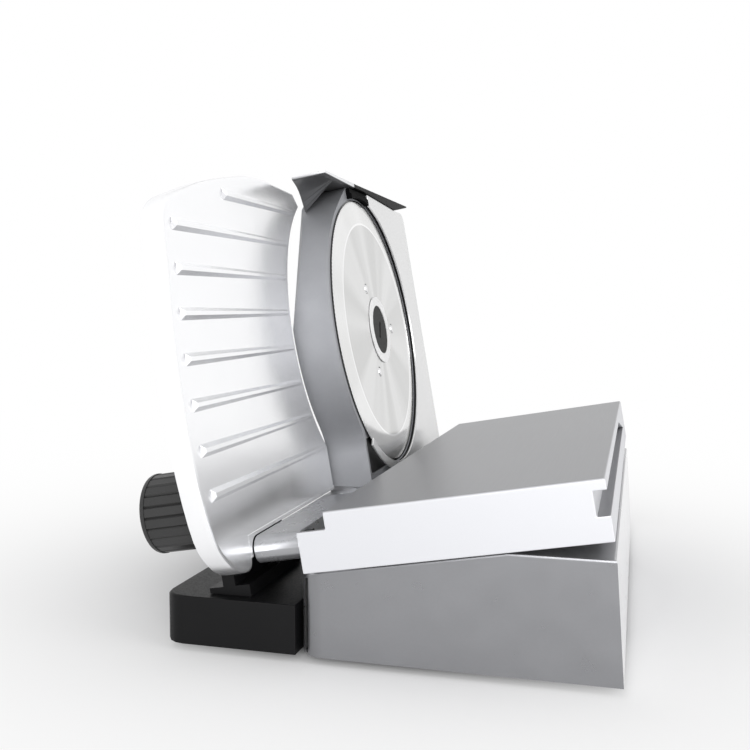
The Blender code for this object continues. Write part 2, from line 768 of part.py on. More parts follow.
def make_rod_bearings(head, black):
    """Two blocks on the deck that the carriage's rod slides through."""
    half = ROD_RADIUS + ROD_BEARING_WALL
    centre = (ROD_PLACE, ROD_HEIGHT)
    top = ROD_HEIGHT + half
    outline = rounded([
        (ROD_PLACE - half, DECK + GAP, 0), (ROD_PLACE + half, DECK + GAP, 0),
        (ROD_PLACE + half, top, ROD_BEARING_WALL), (ROD_PLACE - half, top, ROD_BEARING_WALL),
    ])
    places = (("rod_bearing_front", ROD_BEARING_FRONT), ("rod_bearing_rear", ROD_BEARING_REAR))
    for name, start in places:
        body = make_object(name, prism(outline, start, start + ROD_BEARING_LENGTH, "Y"), black, head)
        bore = rod(ROD_RADIUS + RUN_GAP, start - OVERRUN, start + ROD_BEARING_LENGTH + OVERRUN,
                   centre, "Y", ROUND_STEPS)
        cut(body, bore)
        shade(body)


def make_glide_post(head, black):
    """Fixed slide under the left edge of the carriage."""
    top = TRAY_UNDERSIDE - GAP - GLIDE_HEIGHT - RUN_GAP
    low = (GLIDE_LEFT, DECK + GAP)
    high = (GLIDE_LEFT + GLIDE_WIDTH, top)
    end = GLIDE_POST_NEAR + GLIDE_POST_LENGTH
    body = make_object(
        "glide_post", rounded_box(low, high, GAP, GLIDE_POST_NEAR, end, "Y"), black, head)
    shade(body)


def tray_section():
    """Section of the carriage: skirt, top sheet and thick right wall."""
    inner = TRAY_RIGHT - TRAY_RIGHT_WALL
    return [
        (TRAY_LEFT, TRAY_TOP), (TRAY_RIGHT, TRAY_TOP), (TRAY_RIGHT, TRAY_BOTTOM),
        (inner, TRAY_BOTTOM), (inner, TRAY_UNDERSIDE), (TRAY_LEFT + TRAY_SHEET, TRAY_UNDERSIDE),
        (TRAY_LEFT + TRAY_SHEET, TRAY_TOP - TRAY_SKIRT), (TRAY_LEFT, TRAY_TOP - TRAY_SKIRT),
    ]


def make_carriage(head, steel, dark):
    """Food tray with its front apron, side slot, rod and glide."""
    shape = prism(tray_section(), TRAY_FRONT, TRAY_BACK, "Y")
    body = make_object("carriage_tray", shape, steel, head)
    apron = [
        (TRAY_LEFT, TRAY_TOP), (TRAY_RIGHT, TRAY_TOP), (TRAY_RIGHT, TRAY_BOTTOM),
        (APRON_LEFT, TRAY_BOTTOM), (APRON_LEFT, TRAY_TOP - TRAY_SKIRT),
        (TRAY_LEFT, TRAY_TOP - TRAY_SKIRT),
    ]
    join(body, prism(apron, TRAY_FRONT, TRAY_FRONT + TRAY_END_WALL, "Y"))
    low = (TRAY_LEFT, TRAY_BACK - TRAY_END_WALL, TRAY_BOTTOM)
    high = (TRAY_RIGHT, TRAY_BACK, TRAY_TOP)
    join(body, box(low, high))
    slot_top = TRAY_TOP - SLOT_TOP
    slot_low = slot_top - SLOT_HEIGHT
    slot = [
        (TRAY_FRONT - OVERRUN, slot_top), (SLOT_END_TOP, slot_top),
        (SLOT_END_BOTTOM, slot_low), (TRAY_FRONT - OVERRUN, slot_low),
    ]
    cut(body, prism(slot, TRAY_RIGHT - SLOT_DEPTH, TRAY_RIGHT + OVERRUN, "X"))
    round_edges(body, TRAY_EDGE_ROUND, 3, lambda place: near(place.z, TRAY_TOP) and (
        near(place.y, TRAY_FRONT) or near(place.x, TRAY_RIGHT)))
    shade(body)
    centre = (ROD_PLACE, ROD_HEIGHT)
    start = TRAY_FRONT + TRAY_END_WALL + GAP
    end = TRAY_BACK - TRAY_END_WALL - GAP
    slide = make_object("carriage_rod", rod(ROD_RADIUS, start, end, centre, "Y", ROUND_STEPS), steel, head)
    shade(slide)
    low = (GLIDE_LEFT, TRAY_UNDERSIDE - GAP - GLIDE_HEIGHT)
    high = (GLIDE_LEFT + GLIDE_WIDTH, TRAY_UNDERSIDE - GAP)
    shade(make_object("glide_rail", rounded_box(low, high, GAP, start, end, "Y"), dark, head))


def housing_side():
    """Near side of the housing: hollow bend of the neck, arc about the blade, slope to the top."""
    bend_y = HOUSING_NEAR - NECK_BEND_RADIUS
    bend_z = -math.sqrt((HOUSING_RADIUS + NECK_BEND_RADIUS) ** 2 - bend_y ** 2)
    bend_angle = math.atan2(-bend_z, -bend_y)
    outline = arc((bend_y, bend_z), NECK_BEND_RADIUS, 0.0, bend_angle, CORNER_STEPS)
    slope_angle = math.atan2(HOUSING_TOP, HOUSING_SHOULDER)
    slope_angle += math.acos(HOUSING_RADIUS / math.hypot(HOUSING_SHOULDER, HOUSING_TOP))
    outline += arc((0.0, 0.0), HOUSING_RADIUS, math.pi + bend_angle, slope_angle, FINE_STEPS // 2)[1:]
    return outline + [(HOUSING_SHOULDER, HOUSING_TOP)]


def back_chamfer():
    """Wedge along the back edge of the housing's near side, where the gap to the plate shows."""
    rise = OVERRUN * CHAMFER_DEPTH / CHAMFER_REACH
    low = (HOUSING_BACK - rise, HOUSING_RADIUS - CHAMFER_REACH - OVERRUN)
    high = (HOUSING_BACK + CHAMFER_DEPTH + rise, HOUSING_RADIUS + OVERRUN)
    wedge = prism([low, high, (low[0], high[1])], -HOUSING_RADIUS, HOUSING_RADIUS, "Z")
    bmesh.ops.transform(wedge, matrix=Matrix.Rotation(CHAMFER_ANGLE, 4, "X"), verts=wedge.verts)
    return wedge


def make_housing(head, root, silver):
    """Drum-shaped housing behind the blade."""
    bottom = HOUSING_FLOOR - HOUSING_WEB
    outline = housing_side() + [(TOP_MIDDLE_PLACE, HOUSING_TOP_MIDDLE)]
    outline += rounded([
        (TOP_LOW_PLACE, HOUSING_TOP_LOW, 0), (HOUSING_FAR, HOUSING_TOP_LOW, HOUSING_CORNER),
        (HOUSING_FAR, bottom, 0), (HOUSING_NEAR, bottom, 0),
    ])
    body = make_object("blade_housing", prism(outline, HOUSING_BACK, HOUSING_FRONT, "X"), silver, head)
    cut(body, back_chamfer())
    seat = arc((0.0, 0.0), PLATE_OPENING_RADIUS + GAP,
               math.acos(PLATE_TOP_PLACE / PLATE_OPENING_RADIUS), -math.pi / 2, FINE_STEPS // 2)
    seat += rounded([
        (0.0, bottom, 0), (HOUSING_FAR, bottom, 0),
        (HOUSING_FAR, HOUSING_TOP_LOW, HOUSING_CORNER), (TOP_LOW_PLACE, HOUSING_TOP_LOW, 0),
        (PLATE_TOP_PLACE, HOUSING_TOP_MIDDLE - GAP, 0),
    ])
    join(body, prism(seat, HOUSING_FRONT - OVERRUN, -GAP, "X"))
    cut(body, prism(pocket_outline(0.0), HOUSING_SEAT, OVERRUN, "X"))
    centre = (0.0, 0.0)
    cavity = rod(HOUSING_CAVITY_RADIUS, HOUSING_WEB_FRONT, HOUSING_SEAT + OVERRUN, centre, "X", FINE_STEPS)
    cut(body, cavity)
    boss_end = HUB_TUBE_END - GAP - GAP
    join(body, rod(HOUSING_BOSS_RADIUS, HOUSING_WEB_FRONT - OVERRUN, boss_end, centre, "X", ROUND_STEPS))
    bore = rod(GEAR_SHAFT_RADIUS + RUN_GAP, HOUSING_BACK - OVERRUN, boss_end + OVERRUN, centre, "X",
               ROUND_STEPS)
    cut(body, bore)
    half = MOTOR_RADIUS + MOTOR_POCKET_WALL / 2
    low = (HOUSING_BACK - OVERRUN, MOTOR_POCKET_NEAR, -WORM_DROP - half)
    high = (GEAR_MIDDLE + half, HOUSING_FAR - MOTOR_POCKET_WALL, -WORM_DROP + half)
    cut(body, box(low, high))
    half = WORM_BOX_HALF - COVER_WALL
    low = (HOUSING_BACK - OVERRUN, WORM_BOX_NEAR + COVER_WALL, -WORM_DROP - half)
    high = (GEAR_MIDDLE + half, MOTOR_POCKET_NEAR + OVERRUN, -WORM_DROP + half)
    cut(body, box(low, high))
    for y, z in cover_screw_places():
        hole = rod(COVER_SCREW_RADIUS + GAP, HOUSING_BACK - OVERRUN,
                   HOUSING_BACK + COVER_SCREW_GRIP + GAP, (y, z), "X", SMALL_STEPS)
        cut(body, hole)
    low = (HOUSING_BACK + HOUSING_BACK, HOUSING_NEAR - OVERRUN, 0.0)
    high = (-HOUSING_BACK, HOUSING_FAR + OVERRUN, PLINTH_TOP + GAP)
    cut(body, box(low, high), root)
    shade(body)


def pocket_outline(inset):
    """Outline of the space round the blade, open toward the lower left."""
    radius = POCKET_RADIUS - inset
    left = POCKET_NEAR + inset
    start = math.pi + math.acos(-left / radius)
    outline = arc((0.0, 0.0), radius, start, -math.pi / 2, FINE_STEPS)
    outline += arc((left + POCKET_CORNER, -radius + POCKET_CORNER), POCKET_CORNER,
                   -math.pi / 2, -math.pi, CORNER_STEPS)
    return outline


def make_backing(head, black):
    """Dark sheet behind the blade, seated in the housing."""
    shape = prism(pocket_outline(GAP), BACKING_BACK, BACKING_BACK + BACKING_THICKNESS, "X")
    body = make_object("blade_backing", shape, black, head)
    hole = rod(BACKING_HOLE_RADIUS, HOUSING_BACK, OVERRUN, (0.0, 0.0), "X", FINE_STEPS)
    cut(body, hole)
    shade(body)


def make_front_plate(head, pale):
    """Pale plate in front of the housing, with an arm under the blade."""
    arm_end = ARM_END_ANGLE - 2 * math.pi
    outline = arc((0.0, 0.0), PLATE_OPENING_RADIUS, math.acos(PLATE_TOP_PLACE / PLATE_OPENING_RADIUS),
                  arm_end, FINE_STEPS)
    outline += arc((0.0, 0.0), PLATE_BOTTOM, arm_end, -math.pi / 2, CORNER_STEPS + CORNER_STEPS)
    outline += rounded([
        (HOUSING_FAR, -PLATE_BOTTOM, 0), (HOUSING_FAR, HOUSING_TOP_LOW, HOUSING_CORNER),
        (TOP_LOW_PLACE, HOUSING_TOP_LOW, 0), (PLATE_TOP_PLACE, HOUSING_TOP_MIDDLE - GAP, 0),
    ])
    shade(make_object("front_plate", prism(outline, 0.0, PLATE_THICKNESS, "X"), pale, head))


def insert_outline(top):
    """Outline of one step of the block above the blade."""
    radius = BLADE_RADIUS + INSERT_BLADE_GAP
    left = HOUSING_SHOULDER + GAP
    right = PLATE_TOP_PLACE - GAP
    outline = arc((0.0, 0.0), radius, math.acos(left / radius), math.acos(right / radius), CORNER_STEPS)
    return outline + [(right, top), (left, top)]


def make_top_insert(head, black):
    """Black block above the blade, in two steps."""
    back = HOUSING_FRONT + GAP
    top = HOUSING_TOP_MIDDLE - GAP
    shape = prism(insert_outline(top), back, INSERT_UPPER_STAND, "X")
    body = make_object("top_insert", shape, black, head)
    join(body, prism(insert_outline(top - INSERT_STEP_HEIGHT), back, INSERT_LOWER_STAND, "X"))
    shade(body)


def hood_cove():
    """Hollow near side of the hood, from the housing's slope to the hood's tip."""
    radius = HOUSING_RADIUS + RUN_GAP
    first = Vector((HOOD_COVE_END, math.sqrt(radius ** 2 - HOOD_COVE_END ** 2)))
    last = Vector((HOOD_NEAR, HOOD_EDGE_LOW))
    middle = (first + last) / 2 - (last - first).orthogonal().normalized() * HOOD_COVE_SAG
    return smooth_through([tuple(first), tuple(middle), tuple(last)], CORNER_STEPS)


def make_hood(head, silver):
    """Hood above the near side of the blade: a sheet whose left part thickens down to the housing."""
    shoulder = HOUSING_SHOULDER - GAP
    under = HOUSING_TOP + GAP
    top = [(HOOD_NEAR, HOOD_EDGE_HIGH), (ROOF_START - GAP, ROOF_TOP), (ROOF_START - GAP, under),
           (shoulder, under)]
    cove = hood_cove()
    fall = (HOOD_EDGE_LOW - under) / (HOOD_NEAR - shoulder)
    sheet = [(y, under + (y - shoulder) * fall) for y, _ in cove]
    right = ROOF_RIGHT - HOOD_STRIP
    shape = bmesh.new()
    rings = []
    for x, line in ((HOOD_LEFT_FAR, cove), (right, sheet), (ROOF_RIGHT, sheet)):
        rings.append([shape.verts.new((x, y, z)) for y, z in top + line])
    for vertex in rings[0]:
        share = (vertex.co.y - ROOF_START) / (HOOD_NEAR - ROOF_START)
        vertex.co.x += (HOOD_LEFT_NEAR - HOOD_LEFT_FAR) * share
    shape.faces.new(rings[0])
    shape.faces.new(rings[-1])
    for left, beside in zip(rings, rings[1:]):
        for index in range(len(left)):
            after = (index + 1) % len(left)
            shape.faces.new((left[index], left[after], beside[after], beside[index]))
    bmesh.ops.recalc_face_normals(shape, faces=shape.faces)
    bmesh.ops.triangulate(shape, faces=shape.faces[:])
    shade(make_object("roof_hood", shape, silver, head))


def make_roof_cap(head, black):
    """Cap over the housing, with a thicker middle and a thin far end."""
    outline = [
        (ROOF_START, ROOF_TOP), (ROOF_END, ROOF_TOP), (ROOF_END, ROOF_TOP - ROOF_TIP_HEIGHT),
        (TOP_LOW_PLACE, HOUSING_TOP_LOW + GAP), (TOP_MIDDLE_PLACE, HOUSING_TOP_MIDDLE + GAP),
        (ROOF_START, HOUSING_TOP + GAP),
    ]
    shade(make_object("roof_cap", prism(outline, ROOF_LEFT, ROOF_RIGHT, "X"), black, head))


def cover_screw_places():
    """Places of the four screws that hold the rear cover."""
    rows = (COVER_BOTTOM + COVER_SCREW_INSET, COVER_TOP - COVER_SCREW_INSET)
    return [(y, z) for z in rows for y in (COVER_NEAR + COVER_SCREW_INSET, COVER_FAR - COVER_SCREW_INSET)]


def make_rear_cover(head, silver):
    """Cover of the gear, the worm and the motor, with columns for its screws."""
    front = HOUSING_BACK - GAP
    centre = (0.0, 0.0)
    motor_low = (COVER_NEAR, COVER_BOTTOM)
    motor_high = (COVER_FAR, COVER_TOP)
    shape = rounded_box(motor_low, motor_high, COVER_CORNER, COVER_BACK, front, "X")
    body = make_object("rear_cover", shape, silver, head)
    round_edges(body, BASE_WALL, 2, lambda place: near(place.x, COVER_BACK))
    join(body, rod(COVER_BOSS_RADIUS, COVER_BOSS_BACK, front, centre, "X", FINE_STEPS))
    half = WORM_BOX_HALF
    low = (GEAR_MIDDLE - half, WORM_BOX_NEAR, -WORM_DROP - half)
    high = (front, COVER_NEAR + COVER_WALL, -WORM_DROP + half)
    join(body, box(low, high))
    inner_low = (COVER_NEAR + COVER_WALL, COVER_BOTTOM + COVER_WALL)
    inner_high = (COVER_FAR - COVER_WALL, COVER_TOP - COVER_WALL)
    inner_corner = COVER_CORNER - COVER_WALL
    cut(body, rounded_box(inner_low, inner_high, inner_corner, COVER_BACK + COVER_WALL, OVERRUN, "X"))
    cavity = COVER_BOSS_RADIUS - COVER_WALL
    floor = COVER_BOSS_BACK + COVER_WALL
    cut(body, rod(cavity, floor, OVERRUN, centre, "X", FINE_STEPS))
    half = WORM_BOX_HALF - COVER_WALL
    low = (GEAR_MIDDLE - half, WORM_BOX_NEAR + COVER_WALL, -WORM_DROP - half)
    high = (OVERRUN, COVER_NEAR + COVER_WALL + OVERRUN, -WORM_DROP + half)
    cut(body, box(low, high))
    boss_end = GEAR_BACK - RUN_GAP
    join(body, rod(PIVOT_BOSS_RADIUS, floor - COVER_WALL / 2, boss_end, centre, "X", ROUND_STEPS))
    bore_end = GEAR_BACK - GEAR_PIVOT_LENGTH - GAP
    cut(body, rod(GEAR_PIVOT_RADIUS + RUN_GAP, bore_end, boss_end + OVERRUN, centre, "X", ROUND_STEPS))
    for place in cover_screw_places():
        start = COVER_BACK + COVER_WALL / 2
        join(body, rod(COVER_COLUMN_RADIUS, start, front, place, "X", SMALL_STEPS))
        cut(body, rod(COVER_SCREW_RADIUS + GAP, COVER_BACK - OVERRUN, OVERRUN, place, "X", SMALL_STEPS))
    half_width = SWITCH_WIDTH / 2
    half_length = SWITCH_LENGTH / 2
    low = (COVER_BACK - OVERRUN, SWITCH_PLACE_Y - half_width, SWITCH_PLACE_Z - half_length)
    high = (COVER_BACK + COVER_WALL + OVERRUN, SWITCH_PLACE_Y + half_width, SWITCH_PLACE_Z + half_length)
    cut(body, box(low, high))
    shade(body)


def make_cover_screws(head, steel):
    """Cap screws through the rear cover into the housing."""
    seat = COVER_BACK - GAP
    tip = HOUSING_BACK + COVER_SCREW_GRIP
    profile = [
        (0, seat - COVER_SCREW_HEAD_HEIGHT),
        (COVER_SCREW_HEAD_RADIUS, seat - COVER_SCREW_HEAD_HEIGHT),
        (COVER_SCREW_HEAD_RADIUS, seat),
        (COVER_SCREW_RADIUS, seat),
        (COVER_SCREW_RADIUS, tip),
        (0, tip),
    ]
    for index, place in enumerate(cover_screw_places()):
        name = f"cover_screw_{index + 1}"
        shade(make_object(name, turned(profile, place, "X", SMALL_STEPS), steel, head))


def make_switch(head, black):
    """Rocker switch in the rear cover, resting in its off position."""
    seat = COVER_BACK - GAP
    half_width = SWITCH_WIDTH / 2
    half_length = SWITCH_LENGTH / 2
    low = (SWITCH_PLACE_Y - half_width - SWITCH_RIM, SWITCH_PLACE_Z - half_length - SWITCH_RIM)
    high = (SWITCH_PLACE_Y + half_width + SWITCH_RIM, SWITCH_PLACE_Z + half_length + SWITCH_RIM)
    outer = seat - SWITCH_RIM_HEIGHT
    bezel = make_object("switch_bezel", rounded_box(low, high, SWITCH_RIM / 2, outer, seat, "X"), black, head)
    low = (outer - OVERRUN, SWITCH_PLACE_Y - half_width, SWITCH_PLACE_Z - half_length)
    high = (seat + OVERRUN, SWITCH_PLACE_Y + half_width, SWITCH_PLACE_Z + half_length)
    cut(bezel, box(low, high))
    shade(bezel)
    pivot = COVER_BACK + ROCKER_PIVOT
    reach = half_length - ROCKER_PLAY
    face = outer - ROCKER_STAND - pivot
    outline = [
        (face, -reach), (face + ROCKER_DISH, 0.0), (face, reach),
        (face + ROCKER_DEPTH, reach), (face + ROCKER_DEPTH, -reach),
    ]
    width = half_width - GAP
    rocker = make_object("switch_rocker", prism(outline, -width, width, "Y"), black, head)
    rocker.data.transform(Matrix.Rotation(-ROCKER_TILT, 4, "Y"))
    rocker.location = (pivot, SWITCH_PLACE_Y, SWITCH_PLACE_Z)
    shade(rocker)


def make_gland(head, black):
    """Cord inlet in the far side of the rear cover."""
    start = COVER_FAR + GAP
    end = start + GLAND_LENGTH
    profile = [(GLAND_BORE_RADIUS, start), (GLAND_FLANGE_RADIUS, start),
               (GLAND_FLANGE_RADIUS, start + GLAND_FLANGE)]
    pitch = (GLAND_LENGTH - GLAND_FLANGE) / GLAND_RINGS
    for index in range(GLAND_RINGS):
        ring = start + GLAND_FLANGE + pitch * index
        profile += [(GLAND_RADIUS - GLAND_RING_DEPTH, ring + pitch * GLAND_GROOVE_SHARE),
                    (GLAND_RADIUS, ring + pitch / 2), (GLAND_RADIUS, ring + pitch)]
    profile.append((GLAND_BORE_RADIUS, end))
    place = (GLAND_PLACE_X, GLAND_PLACE_Z)
    shade(make_object("cord_gland", turned(profile, place, "Y", ROUND_STEPS // 2), black, head))


def make_blade(head, steel):
    """Slicing disc with a ground bevel and a fine serrated edge."""
    shape = bmesh.new()
    facets = TOOTH_COUNT // TEETH_PER_FACET
    points_per_facet = POINTS_PER_TOOTH * TEETH_PER_FACET
    edge = []
    for index in range(TOOTH_COUNT * POINTS_PER_TOOTH):
        radius = BLADE_RADIUS - TOOTH_DEPTH * (index % POINTS_PER_TOOTH)
        angle = 2 * math.pi * index / (TOOTH_COUNT * POINTS_PER_TOOTH)
        edge.append(shape.verts.new((-BLADE_EDGE_DROP, radius * math.cos(angle), radius * math.sin(angle))))
    land = BLADE_RADIUS - BLADE_LAND_WIDTH
    slope = BLADE_EDGE_DROP * (land - BLADE_BEVEL_RADIUS) / (BLADE_RADIUS - BLADE_BEVEL_RADIUS)
    for place, radii in ((-slope, (land, BLADE_BEVEL_RADIUS)), (BLADE_BACK, (land,))):
        rings = []
        for number, radius in enumerate(radii):
            level = place if number == 0 else 0.0
            rings.append([shape.verts.new((level, y, z)) for y, z in circle((0.0, 0.0), radius, facets)])
        for index in range(facets):
            after = (index + 1) % facets
            for step in range(points_per_facet):
                first = edge[index * points_per_facet + step]
                second = edge[(index * points_per_facet + step + 1) % len(edge)]
                owner = rings[0][index] if step < points_per_facet / 2 else rings[0][after]
                shape.faces.new((owner, first, second))
            middle = edge[index * points_per_facet + points_per_facet // 2]
            shape.faces.new((rings[0][index], middle, rings[0][after]))
            if len(rings) > 1:
                shape.faces.new((rings[0][index], rings[0][after], rings[1][after], rings[1][index]))
        shape.faces.new(rings[-1])
    body = make_object("blade", shape, steel, head)
    cut(body, rod(LOCK_RADIUS + GAP, BLADE_BACK - OVERRUN, OVERRUN, (0.0, 0.0), "X", ROUND_STEPS))
    for place in blade_screw_places():
        cut(body, rod(BLADE_SCREW_HEAD_RADIUS + GAP, BLADE_BACK - OVERRUN, OVERRUN, place, "X", SMALL_STEPS))
    shade(body)


def blade_screw_places():
    """Places of the screws that hold the blade on its hub."""
    return circle((0.0, 0.0), BLADE_SCREW_CIRCLE, BLADE_SCREW_COUNT)


def make_hub(head, steel, pale, black):
    """Hub behind the blade, its screws, the ring on its face and the lock in its middle."""
    centre = (0.0, 0.0)
    stem_bore = LOCK_STEM_RADIUS + GAP
    shaft_bore = GEAR_SHAFT_RADIUS + GAP
    profile = [
        (stem_bore, HUB_FRONT), (HUB_RADIUS, HUB_FRONT), (HUB_RADIUS, HUB_BACK),
        (HUB_TUBE_RADIUS, HUB_BACK), (HUB_TUBE_RADIUS, HUB_TUBE_END), (shaft_bore, HUB_TUBE_END),
        (shaft_bore, HUB_BACK), (stem_bore, HUB_BACK),
    ]
    hub = make_object("blade_hub", turned(profile, centre, "X", ROUND_STEPS * 2), steel, head)
    for place in blade_screw_places():
        cut(hub, rod(BLADE_SCREW_RADIUS + GAP, HUB_BACK - OVERRUN, OVERRUN, place, "X", SMALL_STEPS))
    shade(hub)
    seat = HUB_FRONT + GAP
    head_top = seat + BLADE_SCREW_HEAD_HEIGHT
    profile = [
        (0, HUB_BACK), (BLADE_SCREW_RADIUS, HUB_BACK), (BLADE_SCREW_RADIUS, seat),
        (BLADE_SCREW_HEAD_RADIUS, seat), (BLADE_SCREW_HEAD_RADIUS, head_top - BLADE_SCREW_CHAMFER),
        (BLADE_SCREW_HEAD_RADIUS - BLADE_SCREW_CHAMFER, head_top), (0, head_top),
    ]
    for index, place in enumerate(blade_screw_places()):
        name = f"blade_screw_{index + 1}"
        shade(make_object(name, turned(profile, place, "X", SMALL_STEPS), steel, head))
    ring = tube(HUB_RING_RADIUS, LOCK_RADIUS + GAP, GAP, GAP + HUB_RING_THICKNESS, centre, "X", ROUND_STEPS)
    shade(make_object("hub_ring", ring, pale, head))
    profile = [
        (0, seat - LOCK_STEM_LENGTH), (LOCK_STEM_RADIUS, seat - LOCK_STEM_LENGTH),
        (LOCK_STEM_RADIUS, seat), (LOCK_RADIUS, seat), (LOCK_RADIUS, LOCK_STAND), (0, LOCK_STAND),
    ]
    lock = make_object("blade_lock", turned(profile, centre, "X", ROUND_STEPS), black, head)
    half_width = LOCK_SLOT_WIDTH / 2
    half_length = LOCK_SLOT_LENGTH / 2
    slot = box((LOCK_STAND - LOCK_SLOT_DEPTH, -half_length, -half_width),
               (LOCK_STAND + OVERRUN, half_length, half_width))
    bmesh.ops.transform(slot, matrix=Matrix.Rotation(LOCK_SLOT_ANGLE, 4, "X"), verts=slot.verts)
    cut(lock, slot)
    shade(lock)


def make_gear(head, dark):
    """Helical gear wheel with its shaft through the housing and its rear pivot."""
    shape = bmesh.new()
    pitch_angle = 2 * math.pi / GEAR_TEETH
    twist = math.tan(WORM_LEAD_ANGLE) / GEAR_PITCH_RADIUS
    rings = []
    for level in (GEAR_BACK, GEAR_FRONT):
        ring = []
        for tooth in range(GEAR_TEETH):
            middle = pitch_angle * (tooth + 1 / 2) - math.pi / 2 + twist * (level - GEAR_MIDDLE)
            corners = (
                (GEAR_ROOT_RADIUS, -TOOTH_ROOT_SHARE / 2), (GEAR_OUTER_RADIUS, -TOOTH_TIP_SHARE / 2),
                (GEAR_OUTER_RADIUS, TOOTH_TIP_SHARE / 2), (GEAR_ROOT_RADIUS, TOOTH_ROOT_SHARE / 2),
            )
            for radius, share in corners:
                angle = middle + pitch_angle * share
                ring.append(shape.verts.new((level, radius * math.cos(angle), radius * math.sin(angle))))
        rings.append(ring)
        shape.faces.new(ring)
    count = len(rings[0])
    for index in range(count):
        after = (index + 1) % count
        shape.faces.new((rings[0][index], rings[0][after], rings[1][after], rings[1][index]))
    body = make_object("blade_gear", shape, dark, head)
    centre = (0.0, 0.0)
    shaft_end = HUB_BACK - GAP
    join(body, rod(GEAR_SHAFT_RADIUS, GEAR_FRONT - OVERRUN, shaft_end, centre, "X", ROUND_STEPS))
    pivot_end = GEAR_BACK - GEAR_PIVOT_LENGTH
    join(body, rod(GEAR_PIVOT_RADIUS, pivot_end, GEAR_BACK + OVERRUN, centre, "X", ROUND_STEPS))
    shade(body)


def worm_shape():
    """One-start worm: a threaded surface that climbs one pitch a turn, closed at both ends."""
    shape = bmesh.new()
    knots = (
        (WORM_ROOT_RADIUS, -1 / 2), (WORM_ROOT_RADIUS, -TOOTH_ROOT_SHARE / 2),
        (WORM_OUTER_RADIUS, -TOOTH_TIP_SHARE / 2), (WORM_OUTER_RADIUS, TOOTH_TIP_SHARE / 2),
        (WORM_ROOT_RADIUS, TOOTH_ROOT_SHARE / 2),
    )
    rows = [(radius, turn + share) for turn in range(-WORM_TURNS // 2, WORM_TURNS // 2)
            for radius, share in knots]
    rows.append((WORM_ROOT_RADIUS, WORM_TURNS / 2 - 1 / 2))
    columns = []
    for step in range(WORM_STEPS):
        angle = 2 * math.pi * step / WORM_STEPS
        column = []
        for radius, turn in rows:
            along = WORM_PITCH * (turn + step / WORM_STEPS)
            column.append(shape.verts.new(
                (radius * math.sin(angle), along, radius * math.cos(angle))))
        columns.append(column)
    size = len(knots)
    for step in range(WORM_STEPS - 1):
        for row in range(len(rows) - 1):
            here, after = columns[step], columns[step + 1]
            shape.faces.new((here[row], here[row + 1], after[row + 1], after[row]))
    first, last = columns[0], columns[-1]
    for row in range(len(rows) - 1 - size):
        shape.faces.new((last[row], last[row + 1], first[row + 1 + size], first[row + size]))
    low = shape.verts.new((0.0, WORM_PITCH * (rows[0][1] + 1 / 2), 0.0))
    high = shape.verts.new((0.0, WORM_PITCH * (rows[-1][1] + 1 / 2), 0.0))
    low_loop = [column[0] for column in columns] + [first[size - row] for row in range(size)]
    high_loop = [column[-1] for column in columns] + [last[-1 - row] for row in range(1, size + 1)]
    for centre, loop in ((low, low_loop), (high, high_loop)):
        for index, vertex in enumerate(loop):
            shape.faces.new((centre, vertex, loop[(index + 1) % len(loop)]))
    return shape


def make_worm_shaft(head, steel):
    """Motor shaft with the worm cut on its free end."""
    shape = worm_shape()
    body = make_object("worm_shaft", shape, steel, head)
    start = WORM_BOX_NEAR + COVER_WALL + GAP
    end = MOTOR_CAP_FAR + GAP + FAN_WIDTH + FAN_WIDTH / 2
    join(body, rod(WORM_SHAFT_RADIUS, start, end, (0.0, 0.0), "Y", WORM_STEPS))
    body.location = (GEAR_MIDDLE, 0.0, -WORM_DROP)
    shade(body)


def motor_object(name, shape, material, head):
    """A piece about the motor's axis, modelled about zero and set in its place."""
    body = make_object(name, shape, material, head)
    body.location = (GEAR_MIDDLE, 0.0, -WORM_DROP)
    return body


